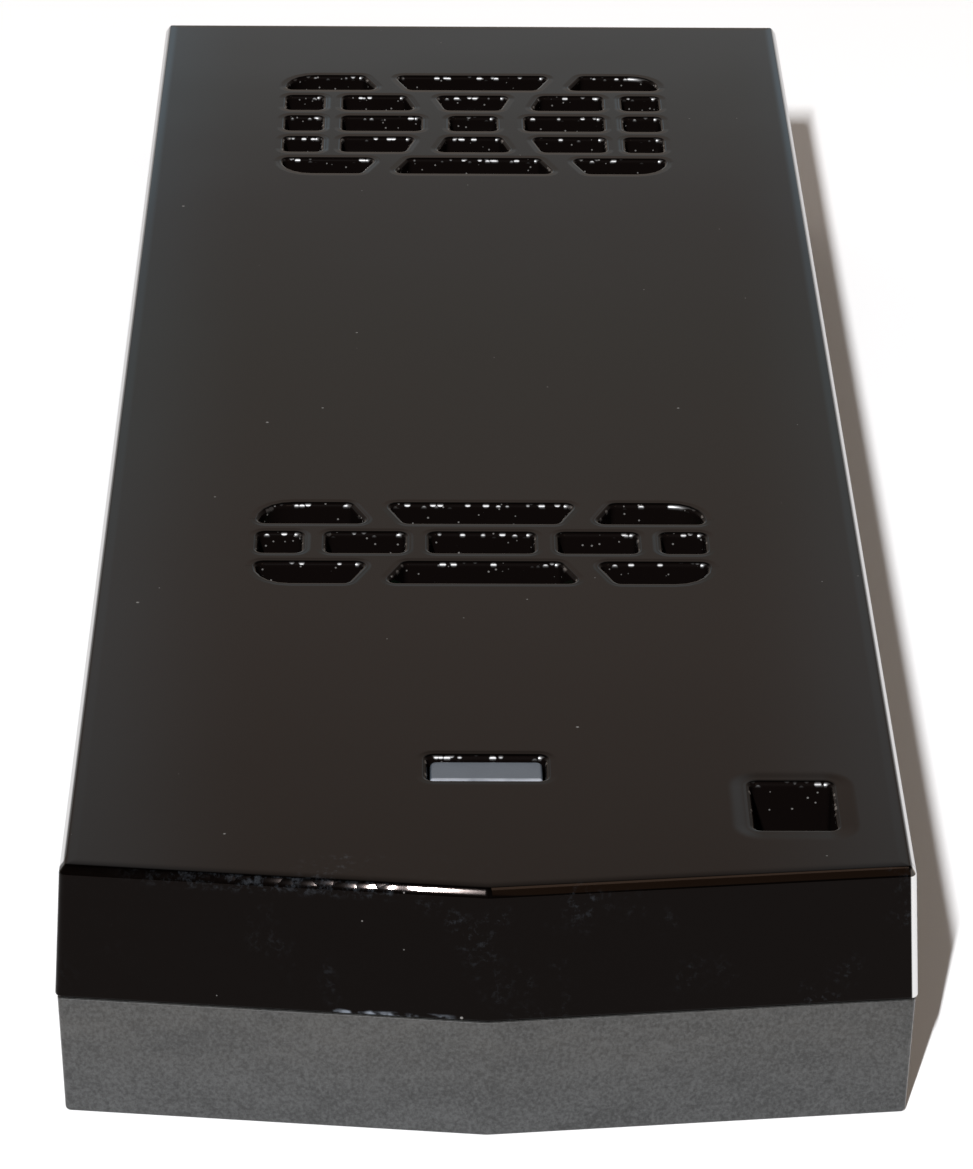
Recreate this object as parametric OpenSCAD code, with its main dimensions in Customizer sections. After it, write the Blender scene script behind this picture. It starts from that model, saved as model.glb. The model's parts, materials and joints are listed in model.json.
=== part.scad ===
// Stick computer with a plug at one end.
// Two clipped covers hold a circuit board, a plug, side sockets, a blower and a heat sink.
// X runs across the stick, Y from the nose to the plug, and Z is up. All sizes are in millimetres.

/* [Case] */
// Length of the case from the tip of the nose to the plug end
body_l = 103.4; // [94:0.1:114]
// Width of the case at the seam
body_w = 37.6; // [34:0.1:44]
// Height of the case
body_h = 12.5; // [11.5:0.1:15]
// Height of the seam between the covers
seam_z = 5.8; // [5.2:0.05:6.2]
// How far the tip of the nose stands ahead of its corners
nose_depth = 2; // [1:0.1:3]
// Thickness of the side walls
wall_t = 1.3; // [1.2:0.05:1.5]
// Thickness of the top and bottom skins
skin_t = 1.2; // [1:0.05:1.3]
// How far each side leans in at the top
top_draft = 0.37; // [0.1:0.01:0.4]
// How far each side leans in at the bottom
bottom_draft = 0.2; // [0.1:0.01:0.5]
// How far the bottom cover stands in from the top cover at the seam
seam_step = 0.1; // [0:0.05:0.3]
// Radius of the edges of the top and bottom faces
edge_r = 0.4; // [0.2:0.05:0.5]
// Radius of the upright corners
corner_r = 0.6; // [0.3:0.1:1.2]
// Height of the tongue that the bottom cover puts inside the top cover
lip_h = 0.8; // [0.5:0.05:0.85]
// Thickness of that tongue
lip_t = 0.5; // [0.3:0.05:0.55]
// Clearance around the tongue and the clips
fit_gap = 0.1; // [0.05:0.01:0.15]

/* [Clips] */
// Thickness of a clip
clip_t = 0.7; // [0.5:0.05:0.8]
// Width of a clip along the stick
clip_w = 4; // [2:0.1:5]
// How far a clip stands above the seam
clip_h = 2.4; // [2.3:0.1:3]
// How far the barb of a clip reaches out
barb_d = 0.4; // [0.2:0.05:0.5]
// Clearance between a clip and the pieces beside it
clip_room = 0.75; // [0.5:0.05:1]

/* [Vents] */
// Width of both vents
vent_w = 21.6; // [20:0.1:24]
// Length of a vent slot along the stick
slot_h = 2; // [1:0.1:2.4]
// Distance from one row of slots to the next
slot_pitch = 3.2; // [2.8:0.1:3.4]
// Width of the short slots at the ends of the inner rows
end_slot_w = 2.05; // [1.5:0.05:2.5]
// Width of the straight ribs beside those slots
rib_w = 1.25; // [0.8:0.05:1.6]
// Radius of the corners of a slot
slot_r = 0.3; // [0.1:0.05:0.45]
// Radius of the four corners of a vent
vent_r = 1.6; // [0.5:0.1:1.9]
// Distance from the nose to the middle of the outlet vent
outlet_y = 33.2; // [31:0.1:35]
// Distance from the plug end to the middle of the inlet vent and of the blower
inlet_back = 16; // [15.8:0.1:17]

/* [Light and strap] */
// Width of the light slot
light_w = 5.25; // [4:0.05:7]
// Length of the light slot along the stick
light_l = 2.1; // [1.8:0.05:3]
// Distance from the nose to the middle of the light slot
light_y = 10.8; // [9:0.1:12]
// How far the light pipe lies below the top face
light_sink = 0.35; // [0.1:0.05:0.8]
// Width of the strap hole
strap_w = 3.55; // [2.5:0.05:3.8]
// Length of the strap hole along the stick
strap_l = 4.1; // [3:0.05:4.4]
// Distance from the side of the case to the middle of the strap hole
strap_side = 5.35; // [5:0.05:6]
// Distance from the nose to the middle of the strap hole
strap_y = 7.45; // [7.2:0.05:8]
// Thickness of the collar round the strap hole
collar_t = 0.8; // [0.5:0.05:1]

/* [Circuit board] */
// Thickness of the circuit board
board_t = 1; // [0.8:0.1:1.1]
// Clearance between the board and the clips
board_gap = 0.3; // [0.2:0.05:0.6]
// Clearance between the board and the front wall
board_end_gap = 0.6; // [0.4:0.1:1]
// Radius of the thread of every screw
screw_r = 0.8; // [0.6:0.05:0.85]
// Radius of every screw head
head_r = 1.4; // [1.2:0.05:1.5]
// Height of every screw head
head_h = 0.6; // [0.4:0.05:0.65]
// Radius of a screw boss in the bottom cover
boss_r = 1.9; // [1.4:0.05:2.1]

/* [Plug] */
// How far the plug stands out of the case
plug_reach = 11.9; // [10:0.1:13]
// Width of the plug
plug_w = 13.9; // [13.5:0.05:14.2]
// Height of the plug
plug_h = 4.45; // [4.3:0.05:4.6]
// Height of the middle of the plug, and of the board, above the table
plug_z = 5.4; // [5.3:0.05:5.45]
// Width of the narrow side of the plug
plug_narrow_w = 10.7; // [10:0.1:12]
// Thickness of the plug's metal sheet
plug_sheet_t = 0.35; // [0.25:0.05:0.45]
// Distance from the plug end of the case to the edge of the board
plug_seat = 4.4; // [4:0.1:4.6]

/* [Side sockets] */
// Distance from the plug end to the middle of the large socket
usb_back = 53.7; // [53.5:0.1:55]
// Inside width of the large socket
usb_w = 12.5; // [12:0.05:12.6]
// Inside height of the large socket
usb_h = 5.12; // [5:0.02:5.3]
// Depth of the large socket
usb_d = 14; // [12:0.1:15]
// Height of the middle of the large socket above the board's top face
usb_rise = 0.35; // [0.2:0.05:0.8]
// Thickness of the metal sheet of the sockets
sheet_t = 0.3; // [0.2:0.05:0.35]
// Distance from the plug end to the middle of the small socket
micro_back = 70.7; // [70.5:0.1:72]
// Outside width of the small socket
micro_w = 7.5; // [7:0.05:7.8]
// Outside height of the small socket
micro_h = 2.55; // [2.3:0.05:2.7]
// Depth of the small socket
micro_d = 5.2; // [4.5:0.1:6]
// Distance from the plug end to the middle of the card socket
card_back = 53.7; // [53.5:0.1:55]
// Width of the card socket
card_w = 14.5; // [14:0.1:14.6]
// Depth of the card socket
card_d = 13.8; // [12.5:0.1:14.5]
// Width of the card that goes in
card_in_w = 11.2; // [10.5:0.1:11.6]
// Height of the gap that the card goes into
card_gap = 0.9; // [0.8:0.05:1]

/* [Power button] */
// Distance from the plug end to the middle of the button
button_back = 81.7; // [81.4:0.1:86]
// Width of the button along the stick
button_w = 6.4; // [4:0.1:6.6]
// Height of the button
button_h = 2.4; // [1.6:0.1:2.6]
// Height of the middle of the button above the seam
button_rise = 2.5; // [2.4:0.05:2.7]
// Clearance round the button in its hole
button_gap = 0.12; // [0.08:0.01:0.2]
// Travel of the button
button_travel = 0.3; // [0.2:0.05:0.35]

/* [Cooling] */
// Width of the heat sink
sink_w = 28; // [26.8:0.1:28.2]
// Length of the heat sink along the stick
sink_l = 15; // [13.5:0.1:15.3]
// Thickness of the base of the heat sink
sink_base_t = 1; // [0.8:0.05:1.2]
// Clearance between the fins and the top skin
fin_gap = 0.5; // [0.3:0.1:1.4]
// Thickness of a fin
fin_t = 0.7; // [0.5:0.05:0.9]
// Distance from one fin to the next
fin_pitch = 2.2; // [1.8:0.1:2.6]
// Thickness of the processor
chip_t = 1; // [0.8:0.05:1.05]
// Thickness of the thermal pad
pad_t = 0.5; // [0.3:0.05:0.55]
// Width of the blower
fan_w = 22; // [21.6:0.1:23]
// Length of the blower along the stick
fan_l = 19; // [18.8:0.1:19.2]
// Clearance between the blower's screws and the top skin
fan_gap = 0.2; // [0.1:0.05:0.6]
// Radius of the impeller at the tips of its blades
impeller_r = 7.8; // [7:0.1:8]
// Radius of the hub of the impeller
hub_r = 4.4; // [4.2:0.05:4.8]
// Number of blades
blade_count = 13; // [9:1:15]
// Radius of the shaft
shaft_r = 0.5; // [0.4:0.05:0.6]

/* [Hidden] */
$fn = 48;
hull_fn = 32;
slot_fn = 16;
// Cuts reach this far past what they cut, and joined solids reach this far into each other
over = 0.5;
bite = 0.2;
// Thickness of the levels that a cover's outside is hulled from
level_t = 0.01;
// Clearance of the shaft in its bearing and of threads in their holes
run_gap = 0.02;

half_w = body_w / 2;
inner_x = half_w - wall_t;
total_l = body_l + plug_reach;
ceiling_z = body_h - skin_t;
// Steps of the rounded edge of a cover, in degrees
edge_steps = [0, 30, 60, 90];

// Places along the stick, from the nose
inlet_y = body_l - inlet_back;
usb_y = body_l - usb_back;
micro_y = body_l - micro_back;
card_y = body_l - card_back;
button_y = body_l - button_back;
strap_x = half_w - strap_side;

// Half widths of the middle slot of each row, from the middle row out: on its inner and its outer edge
outlet_halves = [[2.5, 2.5], [3.7, 4.55]];
inlet_halves = [[1.3, 1.3], [1.5, 2.05], [3.65, 4.45]];
// Widths of the slanting ribs beside those slots
outlet_ribs = [1.25, 1.9];
inlet_ribs = [1.75, 1.95, 2];

// Board
board_z0 = plug_z - board_t / 2;
board_z1 = plug_z + board_t / 2;
clip_x = inner_x - fit_gap - clip_t;
board_half_w = clip_x - board_gap;
board_y0 = nose_depth + wall_t + board_end_gap;
board_y1 = body_l - plug_seat;
notch_gap = 0.4;

// Blower
fan_y = inlet_y;
fan_lift = 0.3;
fan_z = board_z1 + fan_lift;
fan_top = ceiling_z - fan_gap - head_h;
fan_cover_t = 0.4;
fan_wall_top = fan_top - fan_cover_t;
fan_base_t = 0.5;
fan_floor = fan_z + fan_base_t;
fan_bowl_r = impeller_r + 0.7;
fan_inlet_r = impeller_r - 1.5;
fan_outlet_w = 12.4;
fan_foot_r = 1.5;
fan_screw_in = 1.6;
fan_screw_x = fan_w / 2 - fan_screw_in;
fan_screw_y = fan_l / 2 - fan_screw_in;
fan_screw_points = [[-fan_screw_x, fan_y - fan_screw_y], [fan_screw_x, fan_y + fan_screw_y]];
nut_r = 1.5;
nut_h = 0.9;
rotor_gap = 0.4;
rotor_z0 = fan_floor + rotor_gap;
rotor_z1 = fan_wall_top - rotor_gap;
rotor_h = rotor_z1 - rotor_z0;
hub_t = 0.4;
magnet_t = 0.45;
glue_gap = 0.03;
air_gap = 0.2;
magnet_r = hub_r - hub_t - glue_gap;
magnet_rise = 0.1;
bearing_r = shaft_r + 0.6;
post_r = bearing_r + 0.4;
hub_floor = rotor_z1 - hub_t;
post_gap = 0.4;
post_top = hub_floor - post_gap;
shaft_foot = 0.1;
stator_ring_r = post_r + 0.5;
stator_r = magnet_r - magnet_t - air_gap;
stator_gap = 0.6;
stator_z = fan_floor + stator_gap;
stator_h = hub_floor - stator_gap - stator_z;
pole_count = 6;
pole_w = 0.5;
shoe_t = 0.35;
shoe_w = 1.8;
coil_w = 0.9;
coil_h = stator_h + 0.4;
coil_gap = 0.1;
blade_t = 0.4;
blade_curve_r = 6;

// Screws that hold the board: two beside the front corner and the card socket, two ahead of the blower
side_screw_in = 2.6;
corner_screw_in = 3;
corner_screw_back = 3.5;
mid_screw_ahead = 5.25;
rear_screw_ahead = 2.7;
rear_screw_y = fan_y - fan_l / 2 - rear_screw_ahead;
screw_points = [
    [-board_half_w + corner_screw_in, board_y0 + corner_screw_back],
    [board_half_w - side_screw_in, card_y - card_w / 2 - mid_screw_ahead],
    [-board_half_w + side_screw_in, rear_screw_y],
    [board_half_w - side_screw_in, rear_screw_y]
];
screw_hole_gap = 0.15;
thread_end_z = skin_t + 0.8;
cross_w = 0.3;
cross_l = head_r * 1.2;

// Processor and heat sink, ahead of the blower
sink_ahead = 2;
sink_y0 = rear_screw_y - sink_ahead - sink_l;
sink_y = sink_y0 + sink_l / 2;
sink_z = board_z1 + chip_t + pad_t;
fin_z = sink_z + sink_base_t;
fin_h = ceiling_z - fin_gap - fin_z;
fin_count = floor((sink_w - fin_t) / fin_pitch) + 1;
sink_screw_in = 2.2;
sink_screw_x = sink_w / 2 - sink_screw_in;
sink_screw_y = sink_l / 2 - sink_screw_in;
sink_screw_points = [[-sink_screw_x, sink_y - sink_screw_y], [sink_screw_x, sink_y + sink_screw_y]];
standoff_r = 1.5;
standoff_floor = 0.2;
head_clear = 0.3;
chip_w = 13;
die_w = 8;
die_t = 0.4;
pad_w = 11;

// Plug
plug_y0 = board_y1 + 0.5;
plug_hole_gap = 0.2;
plug_side_h = 2;
plug_block_l = 6;
plug_comb_t = 0.75;
plug_setback = 0.8;
plug_tab_w = 1.4;
plug_tab_l = 1.9;
latch_w = 2;
latch_l = 2.4;
latch_x = 3.1;
latch_back = 5.2;
pin_pitch = 1;
pin_w = 0.4;
pin_t = 0.2;
pin_setback = 0.4;
pin_tail_l = 1.6;
pin_knee = 1;
upper_pins = 10;
lower_pins = 9;

// Sockets
socket_setback = 0.1;
hole_gap = 0.15;

// Large socket
usb_z = board_z1 + usb_rise;
usb_out_w = usb_w + 2 * sheet_t;
usb_out_h = usb_h + 2 * sheet_t;
usb_mouth_x = -half_w + socket_setback;
usb_back_x = usb_mouth_x + usb_d;
usb_tab_w = 1.2;
usb_tab_l = 3;
usb_tab_steps = [5.6, usb_d - usb_tab_l];
usb_spring_w = 2;
usb_spring_l = 6;
usb_spring_in = 3;
usb_spring_y = 3;
usb_block_l = 2;
usb_tongue_w = 11.1;
usb_tongue_t = 1.84;
usb_tongue_drop = 0.34;
usb_tongue_in = 1.8;
usb_tongue_z1 = usb_z + usb_h / 2 - usb_tongue_drop;
usb_tongue_z0 = usb_tongue_z1 - usb_tongue_t;
usb_pin_ys = [-3.5, -1, 1, 3.5];
usb_pin_w = 1;
usb_pin_in = 1;
usb_tail_l = 1.4;

// Small socket
micro_z = board_z1 + micro_h / 2;
micro_mouth_x = -half_w + top_draft + socket_setback;
micro_back_x = micro_mouth_x + micro_d;
micro_side_h = 1.7;
micro_cut = 0.85;
micro_tab_w = 1.4;
micro_tab_l = 2;
micro_block_l = 1;
micro_tongue_w = 3.8;
micro_tongue_t = 0.6;
micro_tongue_l = 3.6;
micro_pins = 5;
micro_pin_pitch = 0.65;
micro_pin_w = 0.35;
micro_pin_t = 0.12;
micro_pin_in = 0.3;
micro_tail_l = 0.6;

// Card socket
card_base_t = 0.5;
card_z = board_z1 + card_base_t;
card_top_z = card_z + card_gap;
card_mouth_gap = 0.3;
card_mouth_x = inner_x - card_mouth_gap;
card_back_x = card_mouth_x - card_d;
card_inside_w = card_w - 2 * sheet_t;
card_back_wall = 1.2;
card_pins = 8;
card_pin_pitch = 1.1;
card_pin_w = 0.7;
card_pin_t = 0.15;
card_pin_l = 6;
card_pin_in = 3;
card_tab_w = 0.9;
card_tab_l = 2;
card_tab_steps = [1, 10];
card_spring_w = 1.2;
card_spring_l = 4;
card_spring_in = 7.6;
card_spring_y = 3.6;
card_window_gap = 0.2;

// Clips stand along both sides: ahead of the sockets, beside the heat sink and beside the blower
clip_front_y = min(usb_y - usb_out_w / 2 - usb_tab_w, card_y - card_w / 2) - clip_room - clip_w / 2;
clip_rear_ahead = 3.4;
clip_ys = [clip_front_y, sink_y, fan_y - clip_rear_ahead];
clip_root = 2.4;
clip_slot = 0.4;
barb_z = 1.5;
barb_face = 0.3;
barb_h = 0.8;

// Button and its switch
button_z = seam_z + button_rise;
button_flange_t = 0.7;
button_flange_side = 0.9;
button_flange_edge = 0.45;
button_flange_x = -inner_x + fit_gap;
switch_w = 4.6;
switch_d = 3.4;
switch_h = 2;
switch_room = 2.1;
switch_face_x = -inner_x + switch_room;
plunger_w = 1.8;
plunger_h = 1.1;
plunger_out = 0.8;
plunger_in = 0.8;
plunger_gap = 0.05;
plunger_rise = 1.2;
plunger_z = board_z1 + plunger_rise;
plunger_tip_x = switch_face_x - plunger_out;

// Light
led_w = 1.6;
led_l = 0.8;
led_h = 0.6;
pipe_gap = 0.12;
pipe_flange_side = 0.7;
pipe_flange_t = 0.6;
pipe_stem_w = 3;
pipe_stem_l = 1.5;
pipe_led_gap = 0.3;
pipe_flange_z = ceiling_z - pipe_flange_t;
pipe_stem_z = board_z1 + led_h + pipe_led_gap;

// Fan lead
header_w = 4.6;
header_l = 2.6;
header_h = 2.2;
header_x = 7.4;
wire_r = 0.3;
wire_run = 1.6;
wire_pitch = 1.2;
wire_z = board_z1 + 1.3;
wire_hump = 0.4;
wire_y0 = fan_y - fan_l / 2;
wire_y1 = wire_y0 - wire_run;
wire_count = 3;
wire_steps = 8;

// Wireless
module_w = 12;
module_x = 5.6;
module_y = 23.5;
module_t = 0.6;
can_inset = 0.5;
can_h = 1.3;
jack_x = -2.6;
jack_y = 22;
jack_r = 1;
jack_h = 1.2;
lead_r = 0.55;
lead_plug_r = 1.3;
lead_plug_h = 2 * lead_r + 0.1;
aerial_t = 0.12;
aerial_w = 11.6;
aerial_l = 7;
aerial_x = -15.8;
aerial_y = 6.2;
lead_top_z = ceiling_z - aerial_t - lead_r;
lead_end_z = board_z1 + jack_h + lead_plug_h / 2;
// Route of the aerial lead: X, Y, and the share of its fall from the aerial to the jack
lead_route = [
    [-6, 10, 0],
    [-6, 12, 0],
    [-5.9, 14, 0.08],
    [-5.5, 16, 0.32],
    [-5, 18, 0.68],
    [-4.4, 19.6, 0.92],
    [-3.6, 20.9, 1],
    [-2.6, 22, 1]
];

// Chips and small parts
memory_w = 10;
memory_l = 6.5;
memory_t = 1;
memory_x = 6.5;
memory_y = 3.75;
storage_w = 11.5;
storage_l = 13;
storage_t = 1;
storage_ahead = 2.4;
power_chip_w = 7;
power_chip_t = 0.9;
power_chip_x = 5;
power_chip_y = 22;
choke_w = 2.5;
choke_l = 2;
choke_h = 1.2;
choke_x = -8;
choke_y = 16;
choke_pitch = 3.2;
choke_count = 5;
cap_w = 1;
cap_l = 0.5;
cap_h = 0.5;
cap_pitch = 1.4;
cap_columns = 4;
cap_rows = 2;
crystal_w = 3.2;
crystal_l = 2.5;
crystal_h = 0.8;
crystal_x = -1;
crystal_y = 31;

// Outline of the stick from above, drawn in by inset on every side: a square plug end and a shallow V nose
function plan_points(w, inset) =
    let (slope = nose_depth / half_w,
         shift = inset * sqrt(1 + slope * slope),
         x = w - inset,
         y = slope * x + shift)
    [[0, shift], [x, y], [x, body_l - inset], [-x, body_l - inset], [-x, y]];

// Outline of a plug or socket: upright sides of height side_h below the top, then in to the narrow side
function plug_points(w, h, narrow, side_h) =
    [[-w / 2, h / 2], [w / 2, h / 2], [w / 2, h / 2 - side_h],
     [narrow / 2, -h / 2], [-narrow / 2, -h / 2], [-w / 2, h / 2 - side_h]];

// Places of count pieces in a row, pitch apart, about the middle
function row(count, pitch) = [for (i = [0 : count - 1]) (i - (count - 1) / 2) * pitch];

// Puts what is drawn from the tip of the nose into the part's frame, with its origin under the middle
module placed() {
    translate([0, -total_l / 2, 0]) children();
}

// A box from one corner to the opposite one
module span(a, b) {
    translate(a) cube(b - a);
}

// A box centred on X and Y that stands on z
module block(x, y, z, w, l, h) {
    span([x - w / 2, y - l / 2, z], [x + w / 2, y + l / 2, z + h]);
}

// A bar along X, centred on Y and Z
module bar(x0, x1, y, z, w, h) {
    span([x0, y - w / 2, z - h / 2], [x1, y + w / 2, z + h / 2]);
}

// An upright cylinder at a point, between two heights
module post(p, r, z0, z1) {
    translate([p[0], p[1], z0]) cylinder(r = r, h = z1 - z0);
}

// A drilled hole for a screw between two heights
module screw_hole(p, z0, z1) {
    post(p, screw_r + screw_hole_gap, z0 - over, z1 + over);
}

// A screw whose head stands on z, with a cross in its head and its thread going down to foot_z
module screw(p, z, foot_z) {
    difference() {
        post(p, head_r, z, z + head_h);
        block(p[0], p[1], z + head_h / 2, cross_l, cross_w, head_h);
        block(p[0], p[1], z + head_h / 2, cross_w, cross_l, head_h);
    }
    post(p, screw_r, foot_z, z + head_h / 4);
}

module rounded_rectangle(w, l, r) {
    offset(r = r) square([w - 2 * r, l - 2 * r], center = true);
}

// Outside of the covers

// The plan of the case as a solid between two heights
module plan_solid(inset, z0, z1) {
    translate([0, 0, z0]) linear_extrude(z1 - z0) polygon(plan_points(half_w, inset));
}

// One thin level of a cover, with its upper or lower face at z
module level(w, inset, z, up) {
    translate([0, 0, up ? z - level_t : z])
        linear_extrude(level_t)
            offset(r = corner_r, $fn = hull_fn)
                offset(delta = -corner_r)
                    polygon(plan_points(w, inset));
}

// A cover from the seam to its outer face, with leaning sides and a rounded edge, drawn in by step all round
module cover_outside(face_z, draft, step) {
    up = face_z > seam_z;
    reach = face_z - seam_z;
    hull() {
        level(half_w, step, seam_z, !up);
        for (a = edge_steps) {
            share = 1 - edge_r * (1 - sin(a)) / abs(reach);
            level(half_w - draft * share, step + edge_r * (1 - cos(a)), seam_z + reach * share, up);
        }
    }
}

// Vents

module slot_shape(points) {
    offset(r = slot_r, $fn = slot_fn) offset(delta = -slot_r) polygon(points);
}

// One row: a middle slot, then each way a slanting rib, a side slot and, where the row is split, an end slot
module vent_row(halves, rib, split) {
    in = -slot_h / 2;
    out = slot_h / 2;
    end_x = vent_w / 2 - (split ? end_slot_w + rib_w : 0);
    side_in = halves[0] + rib;
    side_out = halves[1] + rib;
    slot_shape([[-halves[0], in], [halves[0], in], [halves[1], out], [-halves[1], out]]);
    for (s = [-1, 1]) {
        slot_shape([[s * side_in, in], [s * end_x, in], [s * end_x, out], [s * side_out, out]]);
        if (split)
            translate([s * (vent_w - end_slot_w) / 2, 0])
                rounded_rectangle(end_slot_w, slot_h, slot_r, $fn = slot_fn);
    }
}

// Rows mirrored about the middle one, inside a rounded rectangle
module vent_shape(halves, ribs) {
    last = len(halves) - 1;
    intersection() {
        rounded_rectangle(vent_w, 2 * last * slot_pitch + slot_h, vent_r, $fn = hull_fn);
        union()
            for (k = [-last : last])
                translate([0, k * slot_pitch])
                    rotate(k < 0 ? 180 : 0)
                        vent_row(halves[abs(k)], ribs[abs(k)], abs(k) < last);
    }
}

module vent_cut(y, halves, ribs) {
    translate([0, y, ceiling_z - over]) linear_extrude(skin_t + 2 * over) vent_shape(halves, ribs);
}

// Openings that both covers share

module strap_cut() {
    block(strap_x, strap_y, -over, strap_w, strap_l, body_h + 2 * over);
}

module strap_collar(z0, z1) {
    block(strap_x, strap_y, z0, strap_w + 2 * collar_t, strap_l + 2 * collar_t, z1 - z0);
}

// A window through the wall on the -X side
module left_window(y, z, w, h) {
    bar(-half_w - over, -inner_x + over, y, z, w, h);
}

// A window through the wall on the +X side
module right_window(y, z, w, h) {
    bar(inner_x - over, half_w + over, y, z, w, h);
}

module plug_outline(grow) {
    offset(delta = grow) polygon(plug_points(plug_w, plug_h, plug_narrow_w, plug_side_h));
}

module along_plug(y0, y1) {
    translate([0, y1, plug_z]) rotate([90, 0, 0]) linear_extrude(y1 - y0) children();
}

module socket_windows() {
    gap = 2 * hole_gap;
    card_room = 2 * card_window_gap;
    left_window(usb_y, usb_z, usb_out_w + gap, usb_out_h + gap);
    left_window(micro_y, micro_z, micro_w + gap, micro_h + gap);
    right_window(card_y, card_z + card_gap / 2, card_in_w + card_room, card_gap + card_room);
    along_plug(body_l - wall_t - over, body_l + over) plug_outline(plug_hole_gap);
}

// A bar along X with round ends along Y
module pill(x0, x1, y, z, w, h) {
    bar(x0, x1, y, z, w - h, h);
    for (s = [-1, 1])
        translate([x0, y + s * (w - h) / 2, z]) rotate([0, 90, 0]) cylinder(r = h / 2, h = x1 - x0);
}

// Covers

// Pockets in the top cover's walls for the barbs of the clips
module clip_pockets() {
    w = clip_w + 2 * fit_gap;
    z0 = seam_z + barb_z - fit_gap;
    z1 = seam_z + barb_z + barb_h + fit_gap;
    for (s = [0, 1], y = clip_ys)
        mirror([s, 0, 0]) span([inner_x - over, y - w / 2, z0], [inner_x + barb_d, y + w / 2, z1]);
}

module top_cover() {
    color([0.06, 0.05, 0.05])
    difference() {
        union() {
            difference() {
                cover_outside(body_h, top_draft, 0);
                plan_solid(wall_t, seam_z - over, ceiling_z);
                plan_solid(wall_t - lip_t - fit_gap, seam_z - over, seam_z + lip_h + fit_gap);
            }
            strap_collar(seam_z, ceiling_z + bite);
        }
        clip_pockets();
        vent_cut(outlet_y, outlet_halves, outlet_ribs);
        vent_cut(inlet_y, inlet_halves, inlet_ribs);
        block(0, light_y, ceiling_z - over, light_w, light_l, skin_t + 2 * over);
        strap_cut();
        socket_windows();
        pill(-half_w - over, -inner_x + over, button_y, button_z,
             button_w + 2 * button_gap, button_h + 2 * button_gap);
    }
}

// A springy clip that stands inside the bottom cover's wall, with a barb near its top
module clip(y) {
    x1 = clip_x + clip_t;
    translate([0, y + clip_w / 2, seam_z])
        rotate([90, 0, 0])
            linear_extrude(clip_w)
                polygon([
                    [clip_x, -clip_root], [inner_x + bite, -clip_root],
                    [inner_x + bite, -clip_slot], [x1, -clip_slot],
                    [x1, barb_z], [x1 + barb_d, barb_z], [x1 + barb_d, barb_z + barb_face],
                    [x1, barb_z + barb_h], [x1, clip_h], [clip_x, clip_h]
                ]);
}

module bottom_cover() {
    flange_w = button_w + 2 * button_flange_side + 2 * fit_gap;
    color([0.16, 0.155, 0.15])
    difference() {
        union() {
            difference() {
                union() {
                    cover_outside(0, bottom_draft, seam_step);
                    plan_solid(wall_t - lip_t, seam_z - bite, seam_z + lip_h);
                }
                plan_solid(wall_t, skin_t, seam_z + lip_h + over);
            }
            strap_collar(skin_t - bite, seam_z);
            for (p = screw_points) post(p, boss_r, skin_t - bite, board_z0);
            for (s = [0, 1], y = clip_ys) mirror([s, 0, 0]) clip(y);
        }
        for (p = screw_points) post(p, screw_r + run_gap, thread_end_z - bite, board_z0 + over);
        strap_cut();
        socket_windows();
        left_window(button_y, seam_z + lip_h, flange_w, 2 * lip_h);
    }
}

// Light: a pipe pushed up into the light slot, its flange against the top skin, over a light on the board

module light_pipe() {
    flange = 2 * pipe_flange_side;
    color([0.62, 0.65, 0.7]) {
        block(0, light_y, ceiling_z - bite,
              light_w - 2 * pipe_gap, light_l - 2 * pipe_gap, skin_t - light_sink + bite);
        block(0, light_y, pipe_flange_z, light_w + flange, light_l + flange, pipe_flange_t);
        block(0, light_y, pipe_stem_z, pipe_stem_w, pipe_stem_l, pipe_flange_z - pipe_stem_z + bite);
    }
}

module power_led() {
    color("ivory") block(0, light_y, board_z1, led_w, led_l, led_h);
}

// Power button: a cap through the wall, a flange behind the wall and a nib that bears on the switch

module power_button() {
    flange_w = button_w + 2 * button_flange_side;
    flange_h = button_h + 2 * button_flange_edge;
    nib_x = button_flange_x + button_flange_t;
    color([0.07, 0.06, 0.06]) {
        pill(-half_w, button_flange_x + bite, button_y, button_z, button_w, button_h);
        bar(button_flange_x, nib_x, button_y, button_z, flange_w, flange_h);
        span([nib_x - bite, button_y - plunger_w / 2, plunger_z - plunger_h / 2],
             [plunger_tip_x - run_gap, button_y + plunger_w / 2, button_z]);
    }
}

module switch_body() {
    color("dimgray")
    difference() {
        block(switch_face_x + switch_d / 2, button_y, board_z1, switch_d, switch_w, switch_h);
        bar(switch_face_x - over, switch_face_x + plunger_in + button_travel + plunger_gap,
            button_y, plunger_z, plunger_w + 2 * plunger_gap, plunger_h + 2 * plunger_gap);
    }
}

module switch_plunger() {
    color("black") bar(plunger_tip_x, switch_face_x + plunger_in, button_y, plunger_z, plunger_w, plunger_h);
}

// Circuit board, cut out for the strap's collar and the large socket, and its screws

module circuit_board() {
    z0 = board_z0 - over;
    z1 = board_z1 + over;
    notch_x = strap_x - strap_w / 2 - collar_t - notch_gap;
    notch_y = strap_y + strap_l / 2 + collar_t + notch_gap;
    usb_edge = usb_out_w / 2 + hole_gap;
    color([0.05, 0.2, 0.12])
    difference() {
        span([-board_half_w, board_y0, board_z0], [board_half_w, board_y1, board_z1]);
        span([notch_x, 0, z0], [body_w, notch_y, z1]);
        span([-body_w, usb_y - usb_edge, z0], [usb_back_x + hole_gap, usb_y + usb_edge, z1]);
        for (p = concat(screw_points, fan_screw_points)) screw_hole(p, board_z0, board_z1);
    }
}

module board_screws() {
    color("silver") for (p = screw_points) screw(p, board_z1, thread_end_z);
}

// Plug: a bent metal shell with latch windows, an insulator with two combs, and two rows of pins

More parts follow.
